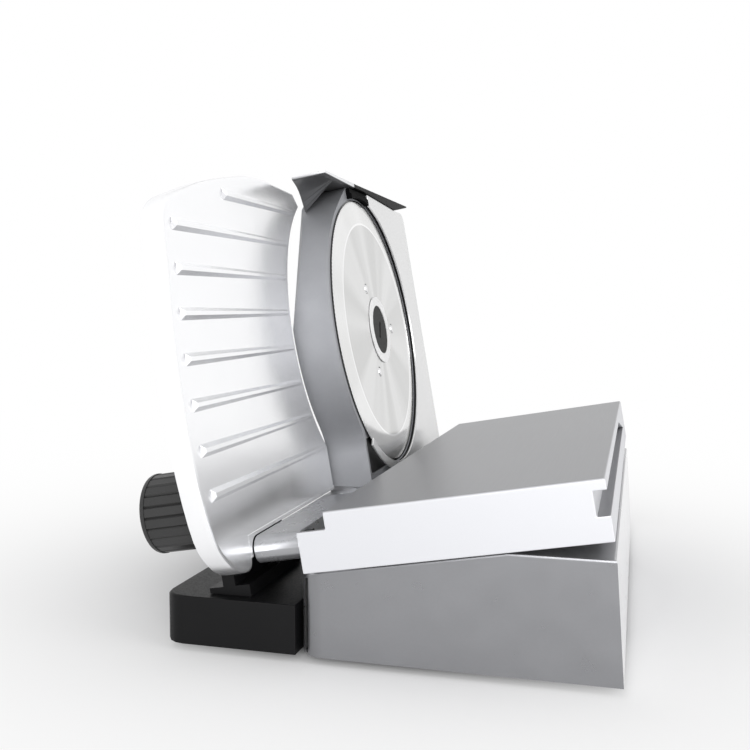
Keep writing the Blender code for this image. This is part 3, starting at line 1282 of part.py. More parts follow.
def make_motor(head, steel, dark, black):
    """Motor: mount, can, end cap, rotor, fan and the bearing of the shaft's free end."""
    centre = (0.0, 0.0)
    bore = WORM_SHAFT_RADIUS + RUN_GAP
    half = MOTOR_RADIUS + MOTOR_POCKET_WALL / 2 - GAP
    start = MOTOR_POCKET_NEAR + GAP
    rise = MOTOR_MOUNT_HEIGHT / 2
    plate = prism([(-half, -rise), (half, -rise), (half, rise), (-half, rise)],
                  start, start + MOTOR_MOUNT_THICKNESS, "Y")
    mount = motor_object("motor_mount", plate, dark, head)
    hole = rod(WORM_SHAFT_RADIUS + MOTOR_WALL / 2, start - OVERRUN, MOTOR_NEAR + OVERRUN, centre, "Y",
               SMALL_STEPS)
    tool = motor_object("cutter", hole, dark, head)
    combine(mount, tool, "DIFFERENCE")
    shade(mount)
    inner = MOTOR_RADIUS - MOTOR_WALL
    profile = [
        (bore, MOTOR_NEAR), (MOTOR_RADIUS, MOTOR_NEAR), (MOTOR_RADIUS, MOTOR_FAR),
        (inner, MOTOR_FAR), (inner, MOTOR_NEAR + MOTOR_WALL), (bore, MOTOR_NEAR + MOTOR_WALL),
    ]
    shade(motor_object("motor_can", turned(profile, centre, "Y", ROUND_STEPS), steel, head))
    cap = tube(MOTOR_RADIUS, bore, MOTOR_FAR + GAP, MOTOR_CAP_FAR, centre, "Y", ROUND_STEPS)
    shade(motor_object("motor_end_cap", cap, dark, head))
    outline = []
    for index in range(ROTOR_SLOTS):
        slot = 2 * math.pi / ROTOR_SLOTS
        for share, depth in ((0.0, 0.0), (0.35, 0.0), (0.4, 1.0), (0.6, 1.0), (0.65, 0.0)):
            angle = slot * (index + share)
            radius = ROTOR_RADIUS - ROTOR_SLOT_DEPTH * depth
            outline.append((radius * math.cos(angle), radius * math.sin(angle)))
    rotor_near = MOTOR_NEAR + MOTOR_WALL + ROTOR_END_SPACE
    rotor_far = MOTOR_FAR - ROTOR_END_SPACE
    rotor = motor_object("motor_rotor", prism(outline, rotor_near, rotor_far, "Y"), dark, head)
    hole = rod(WORM_SHAFT_RADIUS + GAP, rotor_near - OVERRUN, rotor_far + OVERRUN, centre, "Y", WORM_STEPS)
    combine(rotor, motor_object("cutter", hole, dark, head), "DIFFERENCE")
    shade(rotor)
    make_fan(head, black)
    half = WORM_BOX_HALF - COVER_WALL - GAP
    near_end = WORM_BOX_NEAR + COVER_WALL + GAP
    outline = [(-half, -half), (half, -half), (half, half), (-half, half)]
    block = prism(outline, near_end, near_end + WORM_BEARING_WIDTH, "Y")
    bearing = motor_object("worm_bearing", block, dark, head)
    hole = rod(bore, near_end - OVERRUN, near_end + WORM_BEARING_WIDTH + OVERRUN, centre, "Y", WORM_STEPS)
    combine(bearing, motor_object("cutter", hole, dark, head), "DIFFERENCE")
    shade(bearing)


def make_fan(head, black):
    """Small cooling fan on the motor shaft."""
    start = MOTOR_CAP_FAR + FAN_DISC
    end = start + FAN_WIDTH
    bore = WORM_SHAFT_RADIUS + GAP
    profile = [
        (bore, start), (FAN_RADIUS, start), (FAN_RADIUS, start + FAN_DISC),
        (FAN_HUB_RADIUS, start + FAN_DISC), (FAN_HUB_RADIUS, end), (bore, end),
    ]
    fan = motor_object("cooling_fan", turned(profile, (0.0, 0.0), "Y", ROUND_STEPS), black, head)
    half = FAN_BLADE_THICKNESS / 2
    for index in range(FAN_BLADES):
        vane = box((FAN_HUB_RADIUS - half, start + FAN_DISC / 2, -half), (FAN_RADIUS - half, end, half))
        turn = Matrix.Rotation(2 * math.pi * index / FAN_BLADES, 4, "Y")
        bmesh.ops.transform(vane, matrix=turn, verts=vane.verts)
        combine(fan, motor_object("vane", vane, black, head), "UNION")
    shade(fan)


def fence_corner():
    """Upper far corner of the thickness plate, which passes below the hood as the plate moves."""
    line = []
    cove = hood_cove()
    for before, point, after in zip(cove, cove[1:], cove[2:]):
        way = (Vector(after) - Vector(before)).normalized()
        line.append(Vector(point) + Vector((-way.y, way.x)) * HOOD_CLEARANCE)
    inner = [point for point in line if point.length <= FENCE_ARC_RADIUS][-1]
    outer = [point for point in line if point.length > FENCE_ARC_RADIUS]
    share = (FENCE_ARC_RADIUS - inner.length) / (outer[0].length - inner.length)
    meet = inner.lerp(outer[0], share)
    last = [point for point in outer if point.y < FENCE_TOP - FENCE_CORNER_DROP][-1]
    return [tuple(meet), tuple(last)]


def fence_outline():
    """Outline of the thickness plate: rounded near side, hollow far side that follows the blade."""
    low_angle = math.pi + math.acos(-FENCE_LOW_FAR / FENCE_ARC_RADIUS)
    corner = fence_corner()
    top_angle = math.acos(corner[0][0] / FENCE_ARC_RADIUS)
    outline = arc((0.0, 0.0), FENCE_ARC_RADIUS, low_angle, top_angle, ROUND_STEPS) + corner[1:]
    handles = [(-FENCE_REACH * reach, FENCE_TOP * rise) for reach, rise in FENCE_TOP_SHARES]
    handles += [(-FENCE_REACH * reach, -FENCE_LOW * drop) for reach, drop in FENCE_LOW_SHARES]
    outline += smooth_through(handles, HANDLE_STEPS)
    outline += arc((FENCE_LOBE - FENCE_LOBE_ROUND, -FENCE_LOW + FENCE_LOBE_ROUND), FENCE_LOBE_ROUND,
                   -math.pi / 2, 0.0, CORNER_STEPS)[1:]
    return outline + [(FENCE_LOBE, -FENCE_SILL), (FENCE_LOW_FAR, -FENCE_SILL)]


def distance_to_outline(y, z, outline):
    """Shortest distance from a point to a closed outline."""
    point = Vector((y, z))
    best = FENCE_REACH
    for first, second in zip(outline, outline[1:] + outline[:1]):
        a = Vector(first)
        side = Vector(second) - a
        share = max(0.0, min(1.0, (point - a).dot(side) / side.length_squared))
        best = min(best, (point - a - side * share).length)
    return best


def rib_start(z, outline):
    """Where a rib begins: a set distance inside the plate's near edge."""
    y = -FENCE_REACH + RIB_INSET
    while y < -FENCE_ARC_RADIUS and (
            distance_to_outline(y, z, outline) < RIB_INSET or not inside_outline(y, z, outline)):
        y += GAP
    return y


def inside_outline(y, z, outline):
    """Whether a point lies inside a closed outline, by counting crossings."""
    inside = False
    for (y1, z1), (y2, z2) in zip(outline, outline[1:] + outline[:1]):
        if (z1 > z) != (z2 > z) and y < y1 + (y2 - y1) * (z - z1) / (z2 - z1):
            inside = not inside
    return inside


def rib(z, start, end):
    """Rib on the plate's face at one height, sloped at both ends and slimmer toward the blade."""
    root = FENCE_FACE_OPEN - RIB_HEIGHT
    crest = FENCE_FACE_OPEN + RIB_HEIGHT
    section = [
        (root, -RIB_WIDTH / 2), (FENCE_FACE_OPEN, -RIB_WIDTH / 2), (crest, -RIB_CREST / 2),
        (crest, RIB_CREST / 2), (FENCE_FACE_OPEN, RIB_WIDTH / 2), (root, RIB_WIDTH / 2),
    ]
    shape = prism(section, start, end, "Y")
    for vertex in shape.verts:
        far = near(vertex.co.y, end)
        if near(vertex.co.x, crest):
            vertex.co.y += -RIB_SLOPE if far else RIB_SLOPE
        if far:
            vertex.co.z *= RIB_END_SHARE
            vertex.co.x = FENCE_FACE_OPEN + (vertex.co.x - FENCE_FACE_OPEN) * RIB_END_SHARE
        vertex.co.z += z
    return shape


def make_fence(head, silver):
    """Ribbed thickness plate with a round rim and a hollow back."""
    outline = fence_outline()
    shape = prism(outline, FENCE_BACK_OPEN, FENCE_FACE_OPEN, "X")
    faces = sorted(shape.faces, key=lambda face: face.calc_area())[-2:]
    back = min(faces, key=lambda face: face.calc_center_median().x)
    front = max(faces, key=lambda face: face.calc_center_median().x)
    bmesh.ops.inset_region(shape, faces=[back], thickness=FENCE_RIM, use_even_offset=True)
    bmesh.ops.inset_region(
        shape, faces=[back], thickness=FENCE_POCKET_DRAFT, depth=-FENCE_POCKET, use_even_offset=True)
    bmesh.ops.bevel(
        shape, geom=list(front.edges), offset=FENCE_EDGE_ROUND, segments=2, profile=0.5,
        affect="EDGES", clamp_overlap=True)
    body = make_object("fence_plate", shape, silver, head)
    for index in range(RIB_COUNT):
        z = RIB_FIRST - RIB_PITCH * index
        join(body, rib(z, rib_start(z, outline), -math.sqrt(RIB_END_RADIUS ** 2 - z ** 2)))
    shade(body)


def make_carrier(head, dark, steel):
    """Tube on the plate's back with its follower pin, and the guide pin beside it."""
    centre = (KNOB_PLACE_Y, KNOB_PLACE_Z)
    seat = FENCE_POCKET_FLOOR - GAP
    low = (KNOB_PLACE_Y - CARRIER_HALF_WIDTH, KNOB_PLACE_Z - CARRIER_TUBE_RADIUS + GAP)
    high = (KNOB_PLACE_Y + CARRIER_HALF_WIDTH, KNOB_PLACE_Z + CARRIER_RISE)
    shape = rounded_box(low, high, CARRIER_FLANGE, seat - CARRIER_FLANGE, seat, "X")
    body = make_object("fence_carrier", shape, dark, head)
    tube_end = seat - CARRIER_FLANGE / 2
    join(body, rod(CARRIER_TUBE_RADIUS, CARRIER_TUBE_LEFT, tube_end, centre, "X", ROUND_STEPS))
    bore_end = seat - CARRIER_FLANGE
    cut(body, rod(CARRIER_BORE_RADIUS, CARRIER_TUBE_LEFT - OVERRUN, bore_end, centre, "X", ROUND_STEPS))
    hole = rod(PIN_RADIUS + GAP, KNOB_PLACE_Z, KNOB_PLACE_Z + CARRIER_TUBE_RADIUS + OVERRUN,
               (PIN_PLACE, KNOB_PLACE_Y), "Z", SMALL_STEPS)
    cut(body, hole)
    shade(body)
    tip = KNOB_PLACE_Z + CAM_RADIUS - CAM_GROOVE_DEPTH + PIN_TIP_GAP
    top = KNOB_PLACE_Z + CARRIER_TUBE_RADIUS - GAP
    pin = rod(PIN_RADIUS, tip, top, (PIN_PLACE, KNOB_PLACE_Y), "Z", SMALL_STEPS)
    shade(make_object("follower_pin", pin, steel, head))
    place = (GUIDE_PLACE_Y, GUIDE_PLACE_Z)
    guide = rod(GUIDE_RADIUS, GUIDE_LEFT, seat, place, "X", ROUND_STEPS // 2)
    shade(make_object("guide_pin", guide, steel, head))


def make_cam_post(head, root, black):
    """Fixed post behind the plate: sleeve for the carrier, bore for the guide pin, foot."""
    centre = (KNOB_PLACE_Y, KNOB_PLACE_Z)
    guide = (GUIDE_PLACE_Y, GUIDE_PLACE_Z)
    near_side = BASE_FRONT + POST_FLANGE
    low = (near_side, DECK - POST_COLLAR_RADIUS)
    high = (GUIDE_PLACE_Y + GUIDE_BOSS_RADIUS, GUIDE_PLACE_Z)
    body = make_object("cam_post", rounded_box(low, high, GAP, POST_LEFT, POST_RIGHT, "X"), black, head)
    join(body, rod(POST_COLLAR_RADIUS, POST_LEFT, POST_RIGHT, centre, "X", ROUND_STEPS))
    boss = rod(GUIDE_BOSS_RADIUS, POST_LEFT - GUIDE_BOSS_LENGTH, POST_RIGHT, guide, "X", ROUND_STEPS)
    join(body, boss)
    sleeve = rod(SLEEVE_RADIUS, CARRIER_TUBE_LEFT, POST_RIGHT - OVERRUN / 2, centre, "X", ROUND_STEPS)
    join(body, sleeve)
    foot_top = DECK - POST_FOOT
    low = (POST_LEFT - POST_FOOT_SPREAD, near_side, DECK - POST_COLLAR_RADIUS)
    high = (POST_RIGHT + POST_FOOT_SPREAD, GUIDE_PLACE_Y + GUIDE_BOSS_RADIUS, foot_top)
    join(body, box(low, high))
    through = POST_RIGHT + OVERRUN
    bore = rod(SLEEVE_BORE_RADIUS, CARRIER_TUBE_LEFT - OVERRUN, through, centre, "X", ROUND_STEPS)
    cut(body, bore)
    bore = rod(GUIDE_RADIUS + RUN_GAP, POST_LEFT - GUIDE_BOSS_LENGTH - OVERRUN, through, guide, "X",
               ROUND_STEPS // 2)
    cut(body, bore)
    low = (SIDE_LEFT - POST_FLANGE, BASE_FRONT, -POST_COLLAR_RADIUS)
    high = (BASE_LEFT, GUIDE_PLACE_Y + POST_COLLAR_RADIUS, SIDE_TOP + GAP)
    cut(body, box(low, high), root)
    shade(body)


def groove_shape():
    """Cutter of the cam's helical groove, a little longer than the pin's path at both ends."""
    shape = bmesh.new()
    floor = CAM_RADIUS - CAM_GROOVE_DEPTH
    outer = CAM_RADIUS + OVERRUN
    margin = CAM_GROOVE_WIDTH / 2 / floor
    half = CAM_GROOVE_WIDTH / 2
    rings = []
    for step in range(CAM_STEPS + 1):
        turn = -margin + (CAM_TURN + margin + margin) * step / CAM_STEPS
        along = PIN_PLACE + CAM_LEAD * turn / (2 * math.pi)
        angle = math.pi / 2 - turn
        ring = []
        for radius, shift in ((floor, -half), (outer, -half), (outer, half), (floor, half)):
            y = KNOB_PLACE_Y + radius * math.cos(angle)
            z = KNOB_PLACE_Z + radius * math.sin(angle)
            ring.append(shape.verts.new((along + shift, y, z)))
        rings.append(ring)
    for first, second in zip(rings, rings[1:]):
        for index in range(len(first)):
            after = (index + 1) % len(first)
            shape.faces.new((first[index], first[after], second[after], second[index]))
    shape.faces.new(rings[0])
    shape.faces.new(rings[-1])
    return shape


def make_knob(head, black, dark):
    """Fluted knob, hollow toward the plate, and the cam drum inside it."""
    centre = (KNOB_PLACE_Y, KNOB_PLACE_Z)
    rim = rod(KNOB_RADIUS + KNOB_RIM_STAND, KNOB_LEFT, KNOB_LEFT + KNOB_RIM, centre, "X", FINE_STEPS)
    body = make_object("thickness_knob", rim, black, head)
    round_edges(body, KNOB_DOME, 2, lambda place: near(place.x, KNOB_LEFT))
    outline = []
    for index in range(KNOB_FLUTES):
        for turn, drop in KNOB_FLUTE_SHARES:
            angle = 2 * math.pi * (index + turn) / KNOB_FLUTES
            radius = KNOB_RADIUS - KNOB_FLUTE_DEPTH * drop
            outline.append((KNOB_PLACE_Y + radius * math.cos(angle), KNOB_PLACE_Z + radius * math.sin(angle)))
    join(body, prism(outline, KNOB_LEFT + KNOB_RIM / 2, KNOB_RIGHT, "X"))
    bore = SLEEVE_RADIUS + RUN_GAP
    cut(body, rod(bore, KNOB_LEFT + KNOB_END, KNOB_RIGHT + OVERRUN, centre, "X", ROUND_STEPS))
    set_pivot(body, (KNOB_LEFT, KNOB_PLACE_Y, KNOB_PLACE_Z))
    shade(body)
    drum = make_object("cam_drum", rod(CAM_RADIUS, CAM_LEFT, CAM_RIGHT, centre, "X", ROUND_STEPS), dark, head)
    cut(drum, groove_shape())
    set_pivot(drum, (CAM_LEFT, KNOB_PLACE_Y, KNOB_PLACE_Z))
    shade(drum)


def ledge_outline(near_end, far_end, inset):
    """Side view of the ledge with its round nose."""
    low = LEDGE_TOP - LEDGE_HEIGHT + inset
    high = LEDGE_TOP - inset
    nose = LEDGE_NOSE_RADIUS - inset
    return rounded([
        (near_end, low, nose), (far_end, low, 0), (far_end, high, 0), (near_end, high, nose),
    ])


def make_ledge(head, silver, black):
    """Ledge below the plate, with a plug in its open right end."""
    far_end = STEP_FRONT - GAP
    shape = prism(ledge_outline(LEDGE_NEAR, far_end, 0.0), LEDGE_LEFT, LEDGE_RIGHT, "X")
    shade(make_object("food_ledge", shape, silver, head))
    start = LEDGE_NEAR + PLUG_INSET
    outline = ledge_outline(start, start + PLUG_LENGTH, PLUG_INSET)
    shade(make_object("ledge_plug", prism(outline, LEDGE_RIGHT + GAP, PLUG_RIGHT, "X"), black, head))


def centre_on_floor(root):
    """Shift the whole object so that the origin lies under the middle of its bounding box."""
    bpy.context.view_layer.update()
    points = []
    for item in bpy.data.objects:
        if item.type == "MESH":
            points += [item.matrix_world @ vertex.co for vertex in item.data.vertices]
    for axis in (0, 1):
        values = [point[axis] for point in points]
        root.location[axis] = -(min(values) + max(values)) / 2
    root.location[2] = -min(point[2] for point in points)
    bpy.context.view_layer.update()


def build():
    """Make every piece."""
    clear_scene()
    silver = make_material("cast_silver", (0.62, 0.62, 0.64), 0.38, 0.85)
    steel = make_material("polished_steel", (0.80, 0.80, 0.82), 0.22, 1.0)
    pale = make_material("pale_plate", (0.84, 0.84, 0.85), 0.35, 0.3)
    dark = make_material("dark_gear", (0.16, 0.16, 0.17), 0.45, 0.4)
    black = make_material("black_plastic", (0.02, 0.02, 0.022), 0.42, 0.0)
    rubber = make_material("black_rubber", (0.015, 0.015, 0.015), 0.85, 0.0)
    root = make_empty("slicer", None, (0.0, 0.0, 0.0), 0.0)
    head = make_empty("head", root, (0.0, 0.0, BLADE_HEIGHT), HEAD_TILT)
    make_base_body(root, silver)
    make_bottom_plate(root, dark)
    make_side_tray(root, black)
    make_feet(root, rubber)
    make_rod_bearings(head, black)
    make_glide_post(head, black)
    make_carriage(head, steel, dark)
    make_housing(head, root, silver)
    make_backing(head, black)
    make_front_plate(head, pale)
    make_top_insert(head, black)
    make_hood(head, silver)
    make_roof_cap(head, black)
    make_rear_cover(head, silver)
    make_cover_screws(head, steel)
    make_switch(head, black)
    make_gland(head, black)
    make_blade(head, steel)
    make_hub(head, steel, pale, black)
    make_gear(head, dark)
    make_worm_shaft(head, steel)
    make_motor(head, steel, dark, black)
    make_fence(head, silver)
    make_carrier(head, dark, steel)
    make_cam_post(head, root, black)
    make_knob(head, black, dark)
    make_ledge(head, silver, black)
    centre_on_floor(root)


build()
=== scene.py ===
import json
import math

import bmesh
import bpy
from mathutils import Matrix, Vector


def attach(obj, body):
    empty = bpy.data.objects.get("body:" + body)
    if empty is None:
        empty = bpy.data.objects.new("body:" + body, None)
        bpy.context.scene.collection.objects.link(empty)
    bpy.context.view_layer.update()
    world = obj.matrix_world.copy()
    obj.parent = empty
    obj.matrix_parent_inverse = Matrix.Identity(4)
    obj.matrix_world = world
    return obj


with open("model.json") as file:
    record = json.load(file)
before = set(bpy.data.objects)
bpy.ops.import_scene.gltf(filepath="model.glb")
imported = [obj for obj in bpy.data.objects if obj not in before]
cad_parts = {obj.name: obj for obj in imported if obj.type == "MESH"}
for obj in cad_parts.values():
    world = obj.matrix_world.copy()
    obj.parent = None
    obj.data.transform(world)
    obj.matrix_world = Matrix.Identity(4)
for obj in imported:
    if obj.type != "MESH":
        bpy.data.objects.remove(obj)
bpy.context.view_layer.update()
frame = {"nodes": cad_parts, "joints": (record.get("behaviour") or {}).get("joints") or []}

NODES = frame["nodes"]

# The head is what leans with the blade: its own X runs along the blade's axis, and its Y is the world's.
SPIN = next(joint for joint in frame["joints"] if joint["name"] == "blade_spin")
BLADE_CENTRE = Vector(SPIN["pos_m"])
TILT = math.atan2(SPIN["axis"][2], SPIN["axis"][0])
TO_HEAD = Matrix.Rotation(TILT, 3, "Y")
TO_WORLD = TO_HEAD.transposed()
HEAD_UP = TO_WORLD @ Vector((0.0, 0.0, 1.0))

# Camera, in metres and radians, fitted to the photograph.
CAMERA_PLACE = (0.130956, -0.61551, 0.18089)
CAMERA_PITCH = math.radians(85.98)
CAMERA_YAW = math.radians(15.43)
LENS_MM = 45.76
SENSOR_MM = 36.0
CLIP_NEAR = 0.01
CLIP_FAR = 60.0

# Lamps: place, target, width and height in metres, and watts.
LAMPS = {
    "front": ((0.5, -2.2, 0.7), (0.0, 0.0, 0.12), (1.8, 1.4), 36.0),
    "right": ((2.0, -0.7, 0.8), (0.0, 0.0, 0.15), (1.2, 1.4), 19.0),
}
# The world's strength: what lights the object, and what is seen as white.
SOFT_LIGHT = 0.55
SEEN_WHITE = 1.0
WHITE = (1.0, 1.0, 1.0)

# The floor turns white past this distance from the middle, over about this length.
FLOOR_SIZE = 40.0
FLOOR_PALE = (0.80, 0.80, 0.805)
FLOOR_DEEP = (0.78, 0.78, 0.785)
FLOOR_CLOUDS = 3.0
FADE_START = 0.15
FADE_LENGTH = 0.1

# Nearly all of a noise lies between these values.
NOISE_LOW = 0.3
NOISE_HIGH = 0.7

# Painted and polished metal. A noise's scale is in repeats per metre, a sheen is the range of the
# roughness in shares of the usual one, and a tone without a colour is a share of the colour.
PAINT_PATCHES = 18.0
PAINT_WEAR = 60.0
PAINT_GRAIN = 700.0
PAINT_GRAIN_HEIGHT = 0.000004
PAINT_BUMP = 0.03
PAINT_SHEEN = (0.9, 1.12)
FLECK_SHARE = 0.3
FLECK_TONE = 0.92

# Tray: sheet drawn along Y on top, where faces are turned up this far, and a skirt that is rougher and
# less of a mirror. The top's darker tone and the skirt's paler one are partly their finishes and partly
# painted shade and light.
TOP_FACING = (0.55, 0.9)
SHEET_DRAWN = (140.0, 1.0, 140.0)
SHEET_LINES = 22.0
SHEET_PATCHES = 9.0
SHEET_GRAIN = 2200.0
SHEET_LINE_TONE = 0.94
SHEET_PATCH_TONE = 0.9
SKIRT_FLECK_TONE = 0.93
SHEET_ROUGH = (0.3, 0.38)
SHEET_BUMP = 0.25
SHEET_BUMP_HEIGHT = 0.000008
SHEET_TINT = 0.62
SKIRT_METAL = 0.28
SHEET_EXTRA_METAL = 0.4
SKIRT_EXTRA_ROUGH = 0.04

# Blade, in metres from its axis: the painted highlight line, and where the ground rim's tone, partly
# painted reflection, starts and is full. Then how far from its middle the painted highlight is full and
# ends, and what the turning left on the steel.
PAINTED_HIGHLIGHT_RADIUS = 0.0780
RIM_START = 0.0775
RIM_FULL = 0.0790
HIGHLIGHT_CORE = 0.0003
HIGHLIGHT_END = 0.0011
TURNED_RINGS = 2600.0
TURNED_BANDS = 160.0
TURNED_BUMP = 0.25
TURNED_BUMP_HEIGHT = 0.000006
TURNED_SHEEN = (0.8, 1.25)
RING_TONE = (0.4, 0.4, 0.4)
RING_SHARE = 0.06
BAND_TONE = (0.5, 0.5, 0.49)
BAND_SHARE = 0.08
# Painted reflection in light sectors: a noise over the unit circle, and the values that their edges lie
# between.
REFLECTION_SECTOR_SCALE = 2.2
REFLECTION_SECTOR_TONE = (0.93, 0.93, 0.93)
REFLECTION_SECTOR_SHARE = 0.35
REFLECTION_SECTOR_EDGES = (0.4, 0.6)

# Moulded plastic and rubber.
PLASTIC_CELLS = 900.0
PLASTIC_CLOUDS = 30.0
PLASTIC_BUMP = 0.35
PLASTIC_BUMP_HEIGHT = 0.00004
PLASTIC_SHEEN = (0.85, 1.15)
PLASTIC_CLOUD_TONE = 0.85

# The blade's opening, in the head, whose wall is painted with shade: the wall's radius, how far its lip
# stands out at the front, the depths that the lip ends between, the depth that the painted shade goes to,
# the height below which the near side is shaded too, and a radius that takes in all of the head.
OPENING_RADIUS = 0.0963
HOUSING_LIP = 0.001
PLATE_LIP = 0.0002
LIP_START = -0.0016
LIP_END = -0.0020
OPENING_DEPTH = -0.022
WEDGE_TOP = -0.072
WHOLE_HEAD = 0.2
SHADOW_TONE = (0.004, 0.004, 0.004)

# Painted light and shade for the faces that are turned in a direction: the direction, the dot products with
# a face's normal from which the tone starts and is full, and the tone.
PAINTED_LIGHT_RIGHT = ((1.0, 0.0, 0.0), 0.75, 0.95, (0.82, 0.82, 0.83))
PAINTED_LIGHT_TOP = ((0.0, 0.0, 1.0), 0.9, 0.98, (0.45, 0.452, 0.465))
HOOD_UNDERSIDE_SHADE = ((0.0, -0.35, -1.0), 0.1, 0.5, (0.11, 0.111, 0.115))
FENCE_BACK_SHADE = ((-1.0, 0.0, 0.0), 0.1, 0.6, (0.55, 0.552, 0.57))
RIB_END_SHADE = (TO_WORLD @ Vector((0.65, -0.757, 0.07)), 0.965, 0.985, (0.68, 0.68, 0.7))

# Trim round the thickness plate's cut-out, in the head: its extent along X, Y and Z, the ledge's round
# nose inside it, the gap that it keeps to the ledge, and its rounded edges.
TRIM_BACK = -0.0296
TRIM_FRONT = -0.02755
TRIM_NEAR = -0.2230
TRIM_FAR = -0.0775
TRIM_TOP = -0.0985
TRIM_FOOT = -0.1108
NOSE_Y = -0.2128
NOSE_Z = -0.1082
NOSE_RADIUS = 0.0072
NOSE_GAP = 0.0002
NOSE_START = math.radians(90.0)
NOSE_TURN = math.radians(110.0)
NOSE_STEPS = 22
TRIM_ROUND = 0.0003

# Edges sharper than the crisp angle stay sharp. A node in SOFT_ANGLES has its own such angle, and its
# triangles aren't joined into larger faces.
CRISP_ANGLE = math.radians(32.0)
SOFT_ANGLES = {"roof_hood": math.radians(78.0)}
FLAT_ANGLE = math.radians(0.3)
WELD_REACH = 0.000002
EDGE_ANGLE = math.radians(40.0)
EDGE_STEPS = 2
LARGE_FACE_WEIGHT = 100
# Widths of the rounded outer edges, in metres.
EDGE_ROUNDS = {
    "carriage_tray": 0.0006, "base_body": 0.0006, "base_side_tray": 0.0006, "front_plate": 0.0003,
    "roof_hood": 0.0004, "roof_cap": 0.0004, "food_ledge": 0.0004, "blade_housing": 0.0004,
    "rear_cover": 0.0005, "top_insert": 0.0002, "switch_bezel": 0.0003, "switch_rocker": 0.0005,
}


def with_settings(thing, **settings):
    for key, value in settings.items():
        setattr(thing, key, value)
    return thing


def link_to_scene(thing):
    bpy.context.scene.collection.objects.link(thing)


def make_camera():
    data = bpy.data.cameras.new("camera")
    with_settings(data, sensor_width=SENSOR_MM, lens=LENS_MM, clip_start=CLIP_NEAR, clip_end=CLIP_FAR)
    camera = bpy.data.objects.new("camera", data)
    camera.location = CAMERA_PLACE
    camera.rotation_euler = (CAMERA_PITCH, 0.0, CAMERA_YAW)
    link_to_scene(camera)
    bpy.context.scene.camera = camera


def make_lamps():
    for name, (place, target, (width, height), watts) in LAMPS.items():
        data = bpy.data.lights.new(name, "AREA")
        with_settings(data, shape="RECTANGLE", size=width, size_y=height, energy=watts)
        lamp = bpy.data.objects.new(name, data)
        lamp.location = place
        way = Vector(target) - Vector(place)
        lamp.rotation_euler = way.to_track_quat("-Z", "Y").to_euler()
        link_to_scene(lamp)


class Graph:
    """Adds nodes to one node tree and joins them. An input is a plain value or another node's socket."""

    def __init__(self, tree):
        self.tree = tree

    def fill(self, node, inputs):
        for key, value in inputs.items():
            socket = node.inputs[key]
            if isinstance(value, bpy.types.NodeSocket):
                self.tree.links.new(value, socket)
            elif socket.type == "RGBA":
                socket.default_value = (*value, 1.0)
            else:
                socket.default_value = value

    def add(self, kind, inputs=None, **settings):
        node = with_settings(self.tree.nodes.new(kind), **settings)
        self.fill(node, inputs or {})
        return node

    def place(self):
        return self.add("ShaderNodeTexCoord").outputs["Object"]

    def math(self, operation, first, second=0.0, clamp=False):
        settings = {"operation": operation, "use_clamp": clamp}
        return self.add("ShaderNodeMath", {0: first, 1: second}, **settings).outputs[0]

    def vector(self, operation, first, second=(0.0, 0.0, 0.0)):
        return self.add("ShaderNodeVectorMath", {0: first, 1: second}, operation=operation)

    def parts(self, vector):
        return self.add("ShaderNodeSeparateXYZ", {0: vector}).outputs

    def noise(self, vector, scale, detail=2.0, roughness=0.5):
        inputs = {"Vector": vector, "Scale": scale, "Detail": detail, "Roughness": roughness}
        return self.add("ShaderNodeTexNoise", inputs).outputs["Fac"]

    def spread(self, value, low, high, source_low=NOISE_LOW, source_high=NOISE_HIGH):
        """Maps a value to low where it is at source_low, and to high where it is at source_high."""
        source = {"Value": value, "From Min": source_low, "From Max": source_high}
        return self.add("ShaderNodeMapRange", {**source, "To Min": low, "To Max": high}).outputs["Result"]

    def uneven(self, value, usual, shares, *source):
        """Maps a value to between two shares of a usual one."""
        low, high = shares
        return self.spread(value, usual * low, usual * high, *source)

    def mix(self, share, first, second):
        """The first colour, turned to the second by a share from 0 to 1."""
        # A Mix node takes its colours in inputs 6 and 7, and gives one in output 2.
        inputs = {0: share, 6: first, 7: second}
        return self.add("ShaderNodeMix", inputs, data_type="RGBA").outputs[2]

    def bump(self, height, strength, distance):
        inputs = {"Strength": strength, "Distance": distance, "Height": height}
        return self.add("ShaderNodeBump", inputs).outputs[0]


def shader_mix(graph, share, first, second):
    inputs = {0: share, 1: first.outputs[0], 2: second.outputs[0]}
    return graph.add("ShaderNodeMixShader", inputs).outputs[0]


def seen_share(graph):
    """1 for what the camera sees, also by a mirror or through glass, and 0 for light on the object."""
    ray = graph.add("ShaderNodeLightPath").outputs
    seen = graph.math("ADD", ray["Is Camera Ray"], ray["Is Glossy Ray"])
    return graph.math("ADD", seen, ray["Is Transmission Ray"], clamp=True)


def make_world():
    """White for what is seen, and a gentle grey light for the object."""
    world = bpy.data.worlds.new("studio")
    bpy.context.scene.world = world
    world.use_nodes = True
    world.node_tree.nodes.clear()
    graph = Graph(world.node_tree)
    soft = graph.add("ShaderNodeBackground", {"Color": WHITE, "Strength": SOFT_LIGHT})
    white = graph.add("ShaderNodeBackground", {"Color": WHITE, "Strength": SEEN_WHITE})
    graph.add("ShaderNodeOutputWorld", {0: shader_mix(graph, seen_share(graph), soft, white)})


